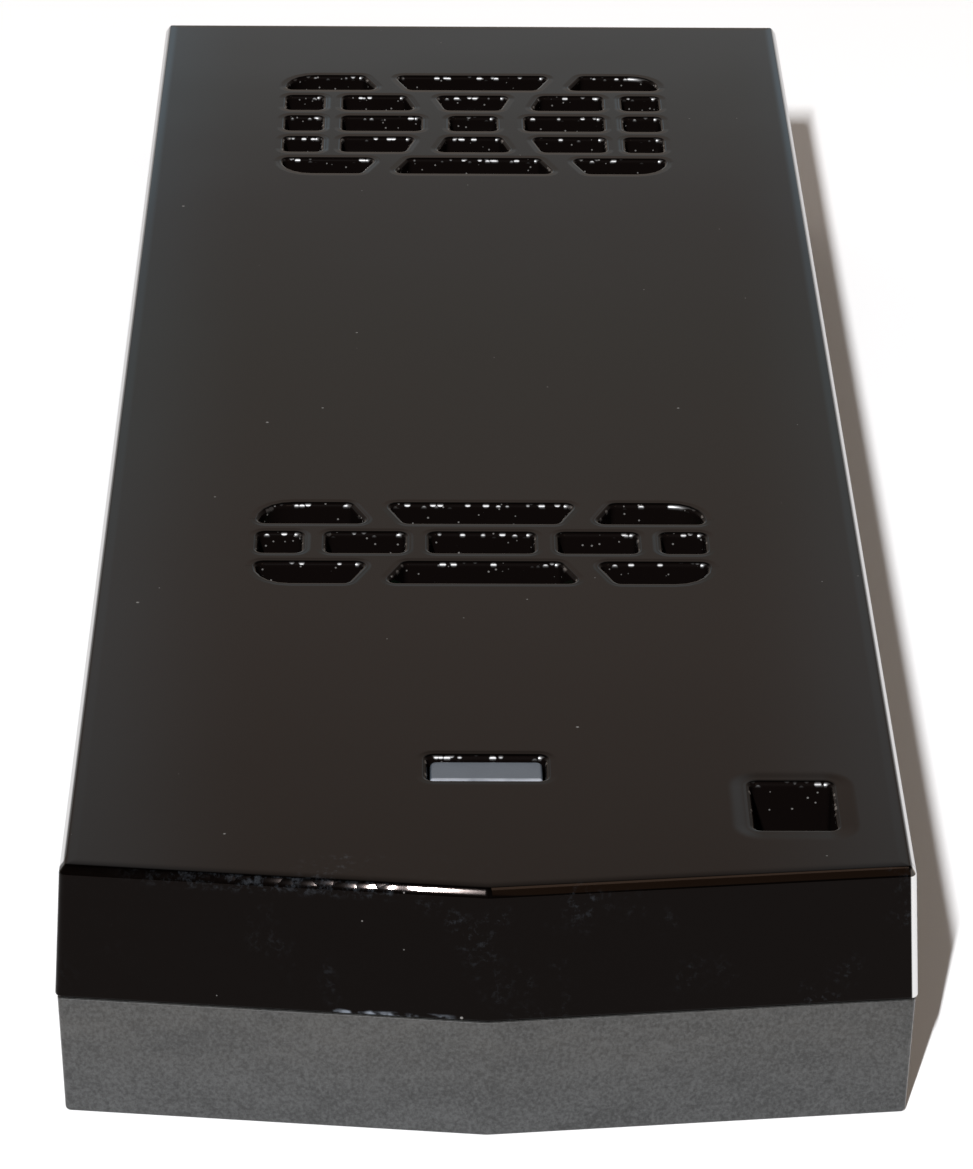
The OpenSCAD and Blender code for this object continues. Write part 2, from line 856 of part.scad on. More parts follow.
module plug_shell() {
    color([0.78, 0.77, 0.74]) {
        difference() {
            along_plug(plug_y0, total_l) plug_outline(0);
            along_plug(plug_y0 - over, total_l + over) plug_outline(-plug_sheet_t);
            for (s = [-1, 1])
                block(s * latch_x, total_l - latch_back, plug_z - plug_h, latch_w, latch_l, 2 * plug_h);
        }
        for (s = [0, 1])
            mirror([s, 0, 0])
                span([plug_w / 2 - plug_tab_w, board_y1 - plug_tab_l, board_z1],
                     [plug_w / 2, plug_y0 + bite, board_z1 + plug_sheet_t]);
    }
}

// One row of pins: side is 1 above the middle and -1 below it, and each tail lies on the board's face
module pin_row(count, side) {
    comb_z = plug_h / 2 - plug_sheet_t - plug_comb_t;
    pin_z = plug_z + (side > 0 ? comb_z - pin_t : -comb_z);
    tail_z = side > 0 ? board_z1 : board_z0 - pin_t;
    knee_y = plug_y0 + pin_knee;
    for (x = row(count, pin_pitch))
        translate([x - pin_w / 2, 0, 0]) {
            span([0, knee_y, pin_z], [pin_w, total_l - plug_setback - pin_setback, pin_z + pin_t]);
            span([0, knee_y, min(pin_z, tail_z)], [pin_w, knee_y + pin_t, max(pin_z, tail_z) + pin_t]);
            span([0, board_y1 - pin_tail_l, tail_z], [pin_w, knee_y + pin_t, tail_z + pin_t]);
        }
}

module plug_pin_bars() {
    pin_row(upper_pins, 1);
    pin_row(lower_pins, -1);
}

module plug_contacts() {
    color("gold") plug_pin_bars();
}

module plug_insulator() {
    mouth_h = plug_h - 2 * (plug_sheet_t + plug_comb_t);
    tab_room = plug_tab_w + fit_gap;
    color([0.08, 0.08, 0.08])
    difference() {
        along_plug(board_y1, total_l - plug_setback) plug_outline(-plug_sheet_t);
        span([-plug_w, plug_y0 + plug_block_l, plug_z - mouth_h / 2],
             [plug_w, total_l, plug_z + mouth_h / 2]);
        plug_pin_bars();
        for (s = [0, 1])
            mirror([s, 0, 0])
                span([plug_w / 2 - tab_room, board_y1 - over, board_z1 - fit_gap],
                     [plug_w, plug_y0 + bite + fit_gap, board_z1 + plug_sheet_t + fit_gap]);
    }
}

// Large side socket: a folded shell that sits in the board's cut-out, and a tongue with four contacts

module usb_shell() {
    spring_x = usb_mouth_x + usb_spring_in;
    tab_y = usb_out_w / 2 - bite;
    color([0.76, 0.75, 0.72]) {
        difference() {
            bar(usb_mouth_x, usb_back_x, usb_y, usb_z, usb_out_w, usb_out_h);
            bar(usb_mouth_x - over, usb_back_x + over, usb_y, usb_z, usb_w, usb_h);
            for (y = [-usb_spring_y, usb_spring_y])
                bar(spring_x, spring_x + usb_spring_l, usb_y + y, usb_z, usb_spring_w, 2 * usb_out_h);
        }
        translate([usb_mouth_x, usb_y, board_z1])
            for (s = [0, 1], x = usb_tab_steps)
                mirror([0, s, 0]) span([x, tab_y, 0], [x + usb_tab_l, tab_y + bite + usb_tab_w, sheet_t]);
    }
}

module usb_pin_bars() {
    knee_x = usb_back_x - usb_block_l / 2;
    pin_z = usb_tongue_z0 - pin_t;
    for (y = usb_pin_ys)
        translate([0, usb_y + y - usb_pin_w / 2, 0]) {
            span([usb_mouth_x + usb_tongue_in + usb_pin_in, 0, pin_z], [knee_x, usb_pin_w, pin_z + pin_t]);
            span([knee_x - pin_t, 0, board_z1], [knee_x, usb_pin_w, pin_z + pin_t]);
            span([knee_x - pin_t, 0, board_z1], [usb_back_x + usb_tail_l, usb_pin_w, board_z1 + pin_t]);
        }
}

module usb_contacts() {
    color("gold") usb_pin_bars();
}

module usb_tongue() {
    tongue_z = (usb_tongue_z0 + usb_tongue_z1) / 2;
    color([0.1, 0.1, 0.1])
    difference() {
        union() {
            bar(usb_back_x - usb_block_l, usb_back_x, usb_y, usb_z, usb_w, usb_h);
            bar(usb_mouth_x + usb_tongue_in, usb_back_x - bite, usb_y, tongue_z, usb_tongue_w, usb_tongue_t);
        }
        usb_pin_bars();
    }
}

// Small side socket

module micro_outline(grow) {
    offset(delta = grow) polygon(plug_points(micro_w, micro_h, micro_w - 2 * micro_cut, micro_side_h));
}

module along_micro(x0, x1) {
    translate([x0, micro_y, micro_z]) rotate([90, 0, 90]) linear_extrude(x1 - x0) children();
}

module micro_usb_shell() {
    tab_x = micro_back_x - micro_tab_l;
    tab_y = micro_w / 2 - micro_cut;
    color([0.76, 0.75, 0.72]) {
        difference() {
            along_micro(micro_mouth_x, micro_back_x) micro_outline(0);
            along_micro(micro_mouth_x - over, micro_back_x + over) micro_outline(-sheet_t);
        }
        translate([tab_x, micro_y, board_z1])
            for (s = [0, 1])
                mirror([0, s, 0]) span([0, tab_y - bite, 0], [micro_tab_l, tab_y + micro_tab_w, sheet_t]);
    }
}

module micro_pin_bars() {
    pin_z = micro_z - micro_tongue_t / 2 - micro_pin_t / 2;
    for (y = row(micro_pins, micro_pin_pitch))
        bar(micro_back_x - micro_tongue_l + micro_pin_in, micro_back_x + micro_tail_l,
            micro_y + y, pin_z, micro_pin_w, micro_pin_t);
}

module micro_usb_contacts() {
    color("gold") micro_pin_bars();
}

module micro_usb_tongue() {
    color([0.1, 0.1, 0.1])
    difference() {
        union() {
            along_micro(micro_back_x - micro_block_l, micro_back_x) micro_outline(-sheet_t);
            bar(micro_back_x - micro_tongue_l, micro_back_x - bite,
                micro_y, micro_z, micro_tongue_w, micro_tongue_t);
        }
        micro_pin_bars();
    }
}

// Card socket: a plastic base with rails, contacts in its floor and a metal cage over it

module card_pin_bars() {
    x = card_back_x + card_pin_in;
    for (y = row(card_pins, card_pin_pitch))
        bar(x, x + card_pin_l, card_y + y, card_z, card_pin_w, 2 * card_pin_t);
}

module card_contacts() {
    color("gold") card_pin_bars();
}

module card_base() {
    color([0.1, 0.1, 0.1])
    difference() {
        span([card_back_x, card_y - card_inside_w / 2, board_z1],
             [card_mouth_x, card_y + card_inside_w / 2, card_top_z]);
        span([card_back_x + card_back_wall, card_y - card_in_w / 2, card_z],
             [card_mouth_x + over, card_y + card_in_w / 2, card_top_z + over]);
        card_pin_bars();
    }
}

module card_cage() {
    spring_x = card_back_x + card_spring_in;
    tab_y = card_w / 2 - bite;
    color([0.78, 0.77, 0.75]) {
        difference() {
            span([card_back_x, card_y - card_w / 2, board_z1],
                 [card_mouth_x, card_y + card_w / 2, card_top_z + sheet_t]);
            span([card_back_x - over, card_y - card_inside_w / 2, board_z1 - over],
                 [card_mouth_x + over, card_y + card_inside_w / 2, card_top_z]);
            for (y = [-card_spring_y, card_spring_y])
                block(spring_x, card_y + y, card_top_z - over,
                      card_spring_l, card_spring_w, sheet_t + 2 * over);
        }
        translate([card_back_x, card_y, board_z1])
            for (s = [0, 1], x = card_tab_steps)
                mirror([0, s, 0]) span([x, tab_y, 0], [x + card_tab_l, tab_y + bite + card_tab_w, sheet_t]);
    }
}

// Processor, its pad and its heat sink, held down by two screws in standoffs

module processor() {
    color([0.1, 0.25, 0.15]) block(0, sink_y, board_z1, chip_w, chip_w, chip_t - die_t);
    color("slategray") block(0, sink_y, board_z1 + chip_t - die_t - bite, die_w, die_w, die_t + bite);
}

module thermal_pad() {
    color("lightpink") block(0, sink_y, board_z1 + chip_t, pad_w, pad_w, pad_t);
}

module heat_sink() {
    color([0.12, 0.12, 0.12])
    difference() {
        union() {
            block(0, sink_y, sink_z, sink_w, sink_l, sink_base_t);
            for (x = row(fin_count, fin_pitch)) block(x, sink_y, fin_z - bite, fin_t, sink_l, fin_h + bite);
        }
        for (p = sink_screw_points) {
            screw_hole(p, sink_z, fin_z);
            post(p, head_r + head_clear, fin_z, fin_z + fin_h + over);
        }
    }
}

module heat_sink_standoffs() {
    color("goldenrod")
    for (p = sink_screw_points)
        difference() {
            post(p, standoff_r, board_z1, sink_z);
            post(p, screw_r + run_gap, board_z1 + standoff_floor, sink_z + over);
        }
}

module heat_sink_screws() {
    color("silver") for (p = sink_screw_points) screw(p, fin_z, board_z1 + 2 * standoff_floor);
}

// Blower: a bowl with a bearing post, open towards the heat sink, and a cover with a round inlet

module fan_housing() {
    color([0.08, 0.08, 0.08])
    difference() {
        union() {
            difference() {
                block(0, fan_y, fan_z, fan_w, fan_l, fan_wall_top - fan_z);
                post([0, fan_y], fan_bowl_r, fan_floor, fan_top);
                span([-fan_bowl_r, fan_y - fan_l, fan_floor], [fan_outlet_w - fan_bowl_r, fan_y, fan_top]);
            }
            post([0, fan_y], post_r, fan_floor - bite, post_top);
            for (p = fan_screw_points) post(p, fan_foot_r, board_z1, fan_wall_top);
        }
        post([0, fan_y], bearing_r + glue_gap, fan_floor, fan_top);
        for (p = fan_screw_points) screw_hole(p, board_z1, fan_top);
    }
}

module fan_cover() {
    color([0.14, 0.14, 0.14])
    difference() {
        block(0, fan_y, fan_wall_top, fan_w, fan_l, fan_cover_t);
        post([0, fan_y], fan_inlet_r, fan_wall_top - over, fan_top + over);
        for (p = fan_screw_points) screw_hole(p, fan_wall_top, fan_top);
    }
}

// One swept-back blade: a stretch of a thin ring between the hub and the tips of the blades
module blade() {
    intersection() {
        translate([0, blade_curve_r, 0])
            difference() {
                cylinder(r = blade_curve_r, h = rotor_h - hub_t);
                translate([0, 0, -over]) cylinder(r = blade_curve_r - blade_t, h = rotor_h + over);
            }
        difference() {
            translate([0, -over, 0]) cube([impeller_r, impeller_r, rotor_h]);
            translate([0, 0, -over]) cylinder(r = hub_r - bite, h = rotor_h + 2 * over);
        }
        cylinder(r = impeller_r, h = rotor_h);
    }
}

module fan_impeller() {
    color([0.1, 0.1, 0.1])
    translate([0, fan_y, rotor_z0])
        difference() {
            union() {
                cylinder(r = hub_r, h = rotor_h);
                for (i = [1 : blade_count]) rotate(i * 360 / blade_count) blade();
            }
            translate([0, 0, -over]) cylinder(r = hub_r - hub_t, h = rotor_h - hub_t + over);
            translate([0, 0, -over]) cylinder(r = shaft_r + run_gap, h = rotor_h + 2 * over);
        }
}

module fan_shaft() {
    color("silver") post([0, fan_y], shaft_r, fan_floor + shaft_foot, rotor_z1);
}

module fan_magnet() {
    color("dimgray")
    difference() {
        post([0, fan_y], magnet_r, rotor_z0 + magnet_rise, hub_floor);
        post([0, fan_y], magnet_r - magnet_t, rotor_z0, rotor_z1);
    }
}

module fan_bearing() {
    color("goldenrod")
    difference() {
        post([0, fan_y], bearing_r, fan_floor, post_top);
        post([0, fan_y], shaft_r + run_gap, fan_floor - over, fan_top);
    }
}

// Arms of the stator, made thicker all round by grow
module pole_arms(grow) {
    x1 = stator_r - shoe_t;
    for (i = [1 : pole_count])
        rotate(i * 360 / pole_count)
            bar(stator_ring_r - bite, x1 + bite, 0, stator_h / 2, pole_w + 2 * grow, stator_h + 2 * grow);
}

module pole_shoes() {
    intersection() {
        cylinder(r = stator_r, h = stator_h);
        for (i = [1 : pole_count])
            rotate(i * 360 / pole_count) bar(stator_r - shoe_t, stator_r, 0, stator_h / 2, shoe_w, stator_h);
    }
}

module fan_stator() {
    color("gray")
    translate([0, fan_y, stator_z])
        difference() {
            union() {
                cylinder(r = stator_ring_r, h = stator_h);
                pole_arms(0);
                pole_shoes();
            }
            translate([0, 0, -over]) cylinder(r = post_r + glue_gap, h = stator_h + 2 * over);
        }
}

// Windings, one block round each arm of the stator
module fan_coils() {
    x0 = stator_ring_r + coil_gap;
    x1 = stator_r - shoe_t - coil_gap;
    color("peru")
    translate([0, fan_y, stator_z])
        difference() {
            for (i = [1 : pole_count])
                rotate(i * 360 / pole_count) bar(x0, x1, 0, stator_h / 2, coil_w, coil_h);
            pole_arms(glue_gap);
        }
}

module fan_screws() {
    color("silver") for (p = fan_screw_points) screw(p, fan_top, board_z0 - nut_h);
}

module fan_nuts() {
    color("goldenrod")
    for (p = fan_screw_points)
        difference() {
            post(p, nut_r, board_z0 - nut_h, board_z0, $fn = 6);
            post(p, screw_r + run_gap, board_z0 - nut_h - over, board_z0 + over);
        }
}

// Leads

// Two directions square to a route at its point i
function ring_axes(points, i) =
    let (a = points[max(i - 1, 0)],
         b = points[min(i + 1, len(points) - 1)],
         t = (b - a) / norm(b - a),
         side = cross([0, 0, 1], t),
         u = side / norm(side))
    [u, cross(t, u)];

// A round lead swept along its points, with flat ends
module lead(points, r, sides) {
    last = len(points) - 1;
    rings = [
        for (i = [0 : last])
            let (axes = ring_axes(points, i))
            for (s = [0 : sides - 1])
                points[i] + r * (cos(s * 360 / sides) * axes[0] + sin(s * 360 / sides) * axes[1])
    ];
    quads = [
        for (i = [0 : last - 1], s = [0 : sides - 1])
            let (n = (s + 1) % sides)
            [i * sides + s, (i + 1) * sides + s, (i + 1) * sides + n, i * sides + n]
    ];
    ends = [[for (s = [0 : sides - 1]) s], [for (s = [sides - 1 : -1 : 0]) last * sides + s]];
    polyhedron(rings, concat(quads, ends));
}

// Three wires from the blower to its header, each with straight ends and a small hump
module fan_wires() {
    color("firebrick")
    for (x = row(wire_count, wire_pitch))
        lead([
            for (k = [0 : wire_steps])
                let (turn = min(max((k - 1) / (wire_steps - 2), 0), 1))
                [header_x + x,
                 wire_y0 - wire_run * k / wire_steps,
                 wire_z + wire_hump * (1 - cos(360 * turn)) / 2]
        ], wire_r, 8);
}

module fan_header() {
    color("ivory") block(header_x, wire_y1 - header_l / 2, board_z1, header_w, header_l, header_h);
}

// Wireless module under a metal can, its aerial on the inside of the top skin, and the lead between them

module wireless_module() {
    color([0.05, 0.15, 0.3]) block(module_x, module_y, board_z1, module_w, module_w, module_t);
}

module wireless_can() {
    can_w = module_w - 2 * can_inset;
    color([0.75, 0.75, 0.73]) block(module_x, module_y, board_z1 + module_t, can_w, can_w, can_h);
}

module aerial() {
    color([0.1, 0.1, 0.12])
    span([aerial_x, aerial_y, ceiling_z - aerial_t], [aerial_x + aerial_w, aerial_y + aerial_l, ceiling_z]);
}

module aerial_jack() {
    color("gold") post([jack_x, jack_y], jack_r, board_z1, board_z1 + jack_h);
}

module aerial_lead() {
    fall = lead_top_z - lead_end_z;
    color([0.12, 0.12, 0.12]) {
        lead([for (p = lead_route) [p[0], p[1], lead_top_z - p[2] * fall]], lead_r, 8);
        post([jack_x, jack_y], lead_plug_r, board_z1 + jack_h, board_z1 + jack_h + lead_plug_h);
    }
}

// Chips and small parts

module memory_chips() {
    color([0.09, 0.09, 0.09])
    for (x = [-memory_x, memory_x], y = [-memory_y, memory_y])
        block(x, sink_y + y, board_z0 - memory_t, memory_w, memory_l, memory_t);
}

module storage_chip() {
    color([0.09, 0.09, 0.09])
    block(0, fan_y - storage_ahead, board_z0 - storage_t, storage_w, storage_l, storage_t);
}

module power_chip() {
    color([0.09, 0.09, 0.09])
    block(power_chip_x, power_chip_y, board_z0 - power_chip_t, power_chip_w, power_chip_w, power_chip_t);
}

module power_chokes() {
    color([0.3, 0.3, 0.3])
    for (i = [0 : choke_count - 1])
        block(choke_x, choke_y + i * choke_pitch, board_z0 - choke_h, choke_w, choke_l, choke_h);
}

module capacitors() {
    color([0.6, 0.5, 0.38])
    for (x = row(cap_columns, cap_pitch), y = row(cap_rows, cap_pitch))
        block(x, rear_screw_y + y, board_z1, cap_w, cap_l, cap_h);
}

module crystal() {
    color("silver") block(crystal_x, crystal_y, board_z1, crystal_w, crystal_l, crystal_h);
}

placed() top_cover();
placed() bottom_cover();
placed() light_pipe();
placed() power_button();
placed() circuit_board();
placed() board_screws();
placed() plug_shell();
placed() plug_insulator();
placed() plug_contacts();
placed() usb_shell();
placed() usb_tongue();
placed() usb_contacts();
placed() micro_usb_shell();
placed() micro_usb_tongue();
placed() micro_usb_contacts();
placed() card_cage();
placed() card_base();
placed() card_contacts();
placed() switch_body();
placed() switch_plunger();
placed() power_led();
placed() processor();
placed() thermal_pad();
placed() heat_sink();
placed() heat_sink_standoffs();
placed() heat_sink_screws();
placed() fan_housing();
placed() fan_cover();
placed() fan_impeller();
placed() fan_shaft();
placed() fan_magnet();
placed() fan_bearing();
placed() fan_stator();
placed() fan_coils();
placed() fan_screws();
placed() fan_nuts();
placed() fan_wires();
placed() fan_header();
placed() wireless_module();
placed() wireless_can();
placed() aerial();
placed() aerial_jack();
placed() aerial_lead();
placed() memory_chips();
placed() storage_chip();
placed() power_chip();
placed() power_chokes();
placed() capacitors();
placed() crystal();
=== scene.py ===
"""Looks of a stick computer with a video plug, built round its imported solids.

The covers, the light pipe, the button and the metal sleeves are surfaces worked out with numpy and stand
for their solids. Every other solid keeps its shape, or a merged copy of it with eased edges, and gets a
procedural finish. Sizes are in millimetres in the part's own frame and become metres in the meshes.
"""

import json
import logging
import math
from dataclasses import dataclass, field
from enum import Enum
from typing import Any, Sequence, Union

import bmesh
import bpy
import numpy as np
from mathutils import Matrix, Vector
from mathutils.geometry import delaunay_2d_cdt

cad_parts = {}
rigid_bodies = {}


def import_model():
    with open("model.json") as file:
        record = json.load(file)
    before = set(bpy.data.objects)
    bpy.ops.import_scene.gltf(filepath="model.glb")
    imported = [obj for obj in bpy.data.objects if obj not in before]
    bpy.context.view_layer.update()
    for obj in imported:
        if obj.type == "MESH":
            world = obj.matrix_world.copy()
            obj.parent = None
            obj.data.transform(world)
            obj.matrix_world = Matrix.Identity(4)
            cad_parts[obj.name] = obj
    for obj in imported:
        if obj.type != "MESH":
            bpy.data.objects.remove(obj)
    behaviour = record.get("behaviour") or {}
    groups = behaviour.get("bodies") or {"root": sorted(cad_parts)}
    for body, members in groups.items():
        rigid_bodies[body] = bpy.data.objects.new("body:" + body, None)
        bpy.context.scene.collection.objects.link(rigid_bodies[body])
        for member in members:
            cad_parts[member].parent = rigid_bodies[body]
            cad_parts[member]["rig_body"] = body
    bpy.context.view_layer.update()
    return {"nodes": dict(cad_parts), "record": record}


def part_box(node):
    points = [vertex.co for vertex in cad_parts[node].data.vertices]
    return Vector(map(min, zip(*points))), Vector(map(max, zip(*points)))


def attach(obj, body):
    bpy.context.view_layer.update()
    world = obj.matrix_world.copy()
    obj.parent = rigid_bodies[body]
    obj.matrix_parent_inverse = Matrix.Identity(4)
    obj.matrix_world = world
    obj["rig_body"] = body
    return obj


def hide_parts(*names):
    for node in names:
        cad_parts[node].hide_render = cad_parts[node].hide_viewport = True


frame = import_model()

LOG = logging.getLogger("stick_computer")
MM = 0.001  # metres in a millimetre
SIDES = (-1, 1)  # both ways along an axis
PILL = 0.499  # share of a pill's height that its corner radius takes
SMOOTH = 32.0  # degrees that an edge may turn and still be shaded smooth
WITHIN = 1  # asks the triangulation for the triangles within its outline
NEAR = 1e-7  # distance at which the triangulation merges points
MIX_ENDS = (6, 7)  # sockets of a Mix node that take its two colours
MIX_RESULT = 2  # socket of a Mix node that gives its colour

Array = np.ndarray
Pair = tuple[float, float]
Corner = tuple[float, float, float]
Colour = tuple[float, float, float]
Piece = bpy.types.Object


class Carve(Enum):
    """How one solid changes another."""

    CUT = "DIFFERENCE"
    JOIN = "UNION"


class Along(Enum):
    """The axis that a tube or a bar runs along."""

    X = 0
    Y = 1


# Outlines and surfaces


def rounded(corners: Array, radii: Array, steps: int, grow: Union[float, Array] = 0.0,
            hold: float = 0.0) -> Array:
    """Outline of a convex polygon with an arc at each corner.

    Each arc is centred one radius in from both edges and turns from the outward normal of the edge before
    the corner to that of the edge after it. Growing the outline adds to every radius about the same centres.

    Args:
        corners: Corner points, anticlockwise, in the last two axes.
        radii: Radius of each corner.
        steps: Points on each arc.
        grow: Distance that the outline is moved outwards, which may be an array of distances.
        hold: How far along its edges each arc has one more point, which keeps the edges' shading flat.

    Returns:
        Points of the outline, in the last two axes.
    """
    before = corners - np.roll(corners, 1, axis=-2)
    after = np.roll(before, -1, axis=-2)
    start = np.arctan2(-before[..., 0], before[..., 1])
    turn = (np.arctan2(-after[..., 0], after[..., 1]) - start) % (2 * np.pi)
    middle = start + turn / 2
    centre = corners - (radii / np.cos(turn / 2))[..., None] * np.stack([np.cos(middle), np.sin(middle)], -1)
    share, slide = np.linspace(0, 1, steps), np.zeros(steps)
    if hold:
        share, slide = np.pad(share, 1, "edge"), np.pad(slide, 1, constant_values=(-hold, hold))
    angle = start[..., None] + turn[..., None] * share
    reach = (radii + grow)[..., None, None]
    arcs = centre[..., None, :] + reach * np.stack([np.cos(angle), np.sin(angle)], -1)
    arcs = arcs + slide[:, None] * np.stack([-np.sin(angle), np.cos(angle)], -1)
    return arcs.reshape(*arcs.shape[:-3], -1, 2)


def bend(start: float, end: float, steps: int) -> tuple[Array, Array]:
    """Cosine and sine of evenly spaced angles between two angles in degrees."""
    angle = np.radians(np.linspace(start, end, steps))
    return np.cos(angle), np.sin(angle)


def box_corners(w: float, h: float) -> Array:
    """Corners of a rectangle about the origin, anticlockwise."""
    return np.array([[-w, -h], [w, -h], [w, h], [-w, h]]) / 2


def footed(w: float, h: float, foot_w: float, side_h: float) -> Array:
    """Corners of a plug's outline about its middle, anticlockwise.

    The sides go straight down from the top and then lean in to a narrower foot.

    Args:
        w: Width of the top.
        h: Height of the outline.
        foot_w: Width of the foot.
        side_h: Height of the straight sides.

    Returns:
        The six corners, in two axes.
    """
    low, turn, top = -h / 2, h / 2 - side_h, h / 2
    half, foot = w / 2, foot_w / 2
    return np.array([[-foot, low], [foot, low], [half, turn], [half, top], [-half, top], [-half, turn]])


def rows(*pairs: tuple[Any, Any]) -> Array:
    """Stacks pairs of numbers or arrays into one array with two columns."""
    return np.concatenate([np.stack(np.broadcast_arrays(np.atleast_1d(a), b), -1) for a, b in pairs])


def lift(flat: Array, z: Any) -> Array:
    """Gives a flat ring its height, or each ring of a stack its own height."""
    height = np.broadcast_to(np.asarray(z, float)[..., None, None], (*flat.shape[:-1], 1))
    return np.concatenate([flat, height], -1)


def slab(low: Corner, high: Corner) -> Array:
    """Rings of a box.

    Args:
        low: One corner of the box.
        high: The opposite corner.

    Returns:
        Points of the lower and the upper ring.
    """
    (x0, y0, z0), (x1, y1, z1) = np.minimum(low, high), np.maximum(low, high)
    flat = np.array([[x0, y0], [x1, y0], [x1, y1], [x0, y1]])
    return lift(np.stack([flat, flat]), (z0, z1))


def post(x: float, y: float, radius: float, ends: Pair, steps: int) -> Array:
    """Rings of an upright cylinder.

    Args:
        x: Place of its axis across the case.
        y: Place of its axis along the case.
        radius: Its radius.
        ends: Heights of its lower and its upper end.
        steps: Points on each ring.

    Returns:
        Points of the lower and the upper ring.
    """
    angle = np.linspace(0, 2 * np.pi, steps, endpoint=False)
    flat = np.column_stack([x + radius * np.cos(angle), y + radius * np.sin(angle)])
    return lift(np.stack([flat, flat]), ends)


def prism(axis: Along, places: Sequence[Any], outlines: Sequence[Array]) -> Array:
    """Rings of outlines carried along X or Y, one ring at each place.

    Args:
        axis: The axis that the rings are carried along.
        places: Where along the axis each ring stands, as a number or one number for each point.
        outlines: The outline at each place, as distances across and up.

    Returns:
        Points of the rings, in three axes.
    """
    flat = np.stack(outlines)
    along = np.stack([np.broadcast_to(place, len(flat[0])) for place in places])
    return np.insert(flat, axis.value, along, axis=2)


def link(name: str, data: bpy.types.ID) -> Piece:
    """Puts an object into the scene.

    Args:
        name: Name of the object.
        data: Its mesh, lamp or camera.

    Returns:
        The object, at the origin.
    """
    made = bpy.data.objects.new(name, data)
    bpy.context.scene.collection.objects.link(made)
    return made


class Surface:
    """Points and faces of one mesh, gathered as whole arrays in millimetres."""

    def __init__(self) -> None:
        """Starts with nothing."""
        self.points: Array = np.zeros((0, 3))
        self.faces: list[list[int]] = []

    def add(self, points: Array) -> Array:
        """Adds points.

        Args:
            points: Points in three axes, laid out in any way.

        Returns:
            Their numbers, laid out as the points are.
        """
        numbers = len(self.points) + np.arange(points[..., 0].size)
        self.points = np.concatenate([self.points, points.reshape(-1, 3)])
        return numbers.reshape(points.shape[:-1])

    def skin(self, rings: Array, loop: bool = False) -> Array:
        """Quads between each ring of a stack and the next, each ring closed on itself.

        Args:
            rings: Points of the rings, in three axes.
            loop: Whether the last ring also joins the first.

        Returns:
            Numbers of the points, ring by ring.
        """
        numbers = self.add(rings)
        near = numbers if loop else numbers[:-1]
        far = np.roll(numbers, -1, 0) if loop else numbers[1:]
        quads = np.stack([near, np.roll(near, -1, 1), np.roll(far, -1, 1), far], -1)
        self.faces += quads.reshape(-1, 4).tolist()
        return numbers

    def sheet(self, grid: Array) -> None:
        """Quads over an open grid.

        Args:
            grid: Points of the grid, in three axes.
        """
        numbers = self.add(grid)
        quads = np.stack([numbers[:-1, :-1], numbers[:-1, 1:], numbers[1:, 1:], numbers[1:, :-1]], -1)
        self.faces += quads.reshape(-1, 4).tolist()

    def solid(self, rings: Array) -> None:
        """A stack of rings closed by a flat face at each end."""
        numbers = self.skin(rings)
        self.faces += [numbers[0, ::-1].tolist(), numbers[-1].tolist()]

    def web(self, outer: Array, holes: Sequence[Array], up: bool) -> None:
        """Triangles of the flat face between an outer ring and the rings of its holes.

        The rings are triangulated together as fixed edges, and the triangles whose corners all lie on one
        hole's ring are left out.

        Args:
            outer: Numbers of the outer ring's points.
            holes: Numbers of the points of each hole's ring.
            up: Whether the face looks up.
        """
        rings = [outer, *holes]
        numbers = np.concatenate(rings)
        flat = self.points[numbers, :2]
        starts = np.cumsum([0] + [len(ring) for ring in rings[:-1]])
        steps = [np.arange(len(ring)) for ring in rings]
        edges = np.concatenate([a + np.stack([s, np.roll(s, -1)], 1) for a, s in zip(starts, steps)])
        made = delaunay_2d_cdt([Vector(p) for p in flat.tolist()], edges.tolist(), [], WITHIN, NEAR)
        origin = np.array([source[0] for source in made[3]])
        triangles = origin[np.array(made[2])]
        ring = np.repeat(np.arange(len(rings)), [len(r) for r in rings])[triangles]
        inside = (ring[:, 0] > 0) & (ring == ring[:, :1]).all(1)
        triangles = triangles[~inside]
        a, b, c = (flat[triangles[:, k]] for k in range(3))
        turned = np.cross(b - a, c - a) > 0
        triangles[turned != up] = triangles[turned != up][:, ::-1]
        self.faces += numbers[triangles].tolist()

    def piece(self, name: str, outward: bool = False) -> Piece:
        """Makes the mesh object.

        Args:
            name: Name of the object.
            outward: Whether the faces are turned to point outwards first.

        Returns:
            The object, at the origin.
        """
        mesh = bpy.data.meshes.new(name)
        mesh.from_pydata((self.points * MM).tolist(), [], self.faces)
        if outward:
            solid = bmesh.new()
            solid.from_mesh(mesh)
            bmesh.ops.recalc_face_normals(solid, faces=solid.faces)
            solid.to_mesh(mesh)
            solid.free()
        mesh.update()
        return link(name, mesh)


def carve(piece: Piece, tool: Piece, how: Carve) -> None:
    """Changes a piece for good with a tool, and removes the tool.

    Args:
        piece: The piece to change.
        tool: The solid that is cut out of it or joined to it.
        how: Which of the two.
    """
    change = piece.modifiers.new(how.name.lower(), "BOOLEAN")
    change.operation = how.value
    change.solver = "EXACT"
    change.object = tool
    graph = bpy.context.evaluated_depsgraph_get()
    changed = bpy.data.meshes.new_from_object(piece.evaluated_get(graph))
    piece.modifiers.clear()
    piece.data = changed
    bpy.data.objects.remove(tool)


def soften(piece: Piece, angle: float = SMOOTH) -> None:
    """Shades a piece smooth, apart from its sharp edges.

    Args:
        piece: The piece to shade.
        angle: Degrees past which an edge is sharp.
    """
    mesh = piece.data
    mesh.polygons.foreach_set("use_smooth", np.ones(len(mesh.polygons), bool))
    mesh.set_sharp_from_angle(angle=math.radians(angle))
    mesh.update()


# Sizes of the case


def span(node: str) -> tuple[Array, Array]:
    """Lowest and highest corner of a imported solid's box, in millimetres."""
    low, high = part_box(node)
    return np.array(low) / MM, np.array(high) / MM


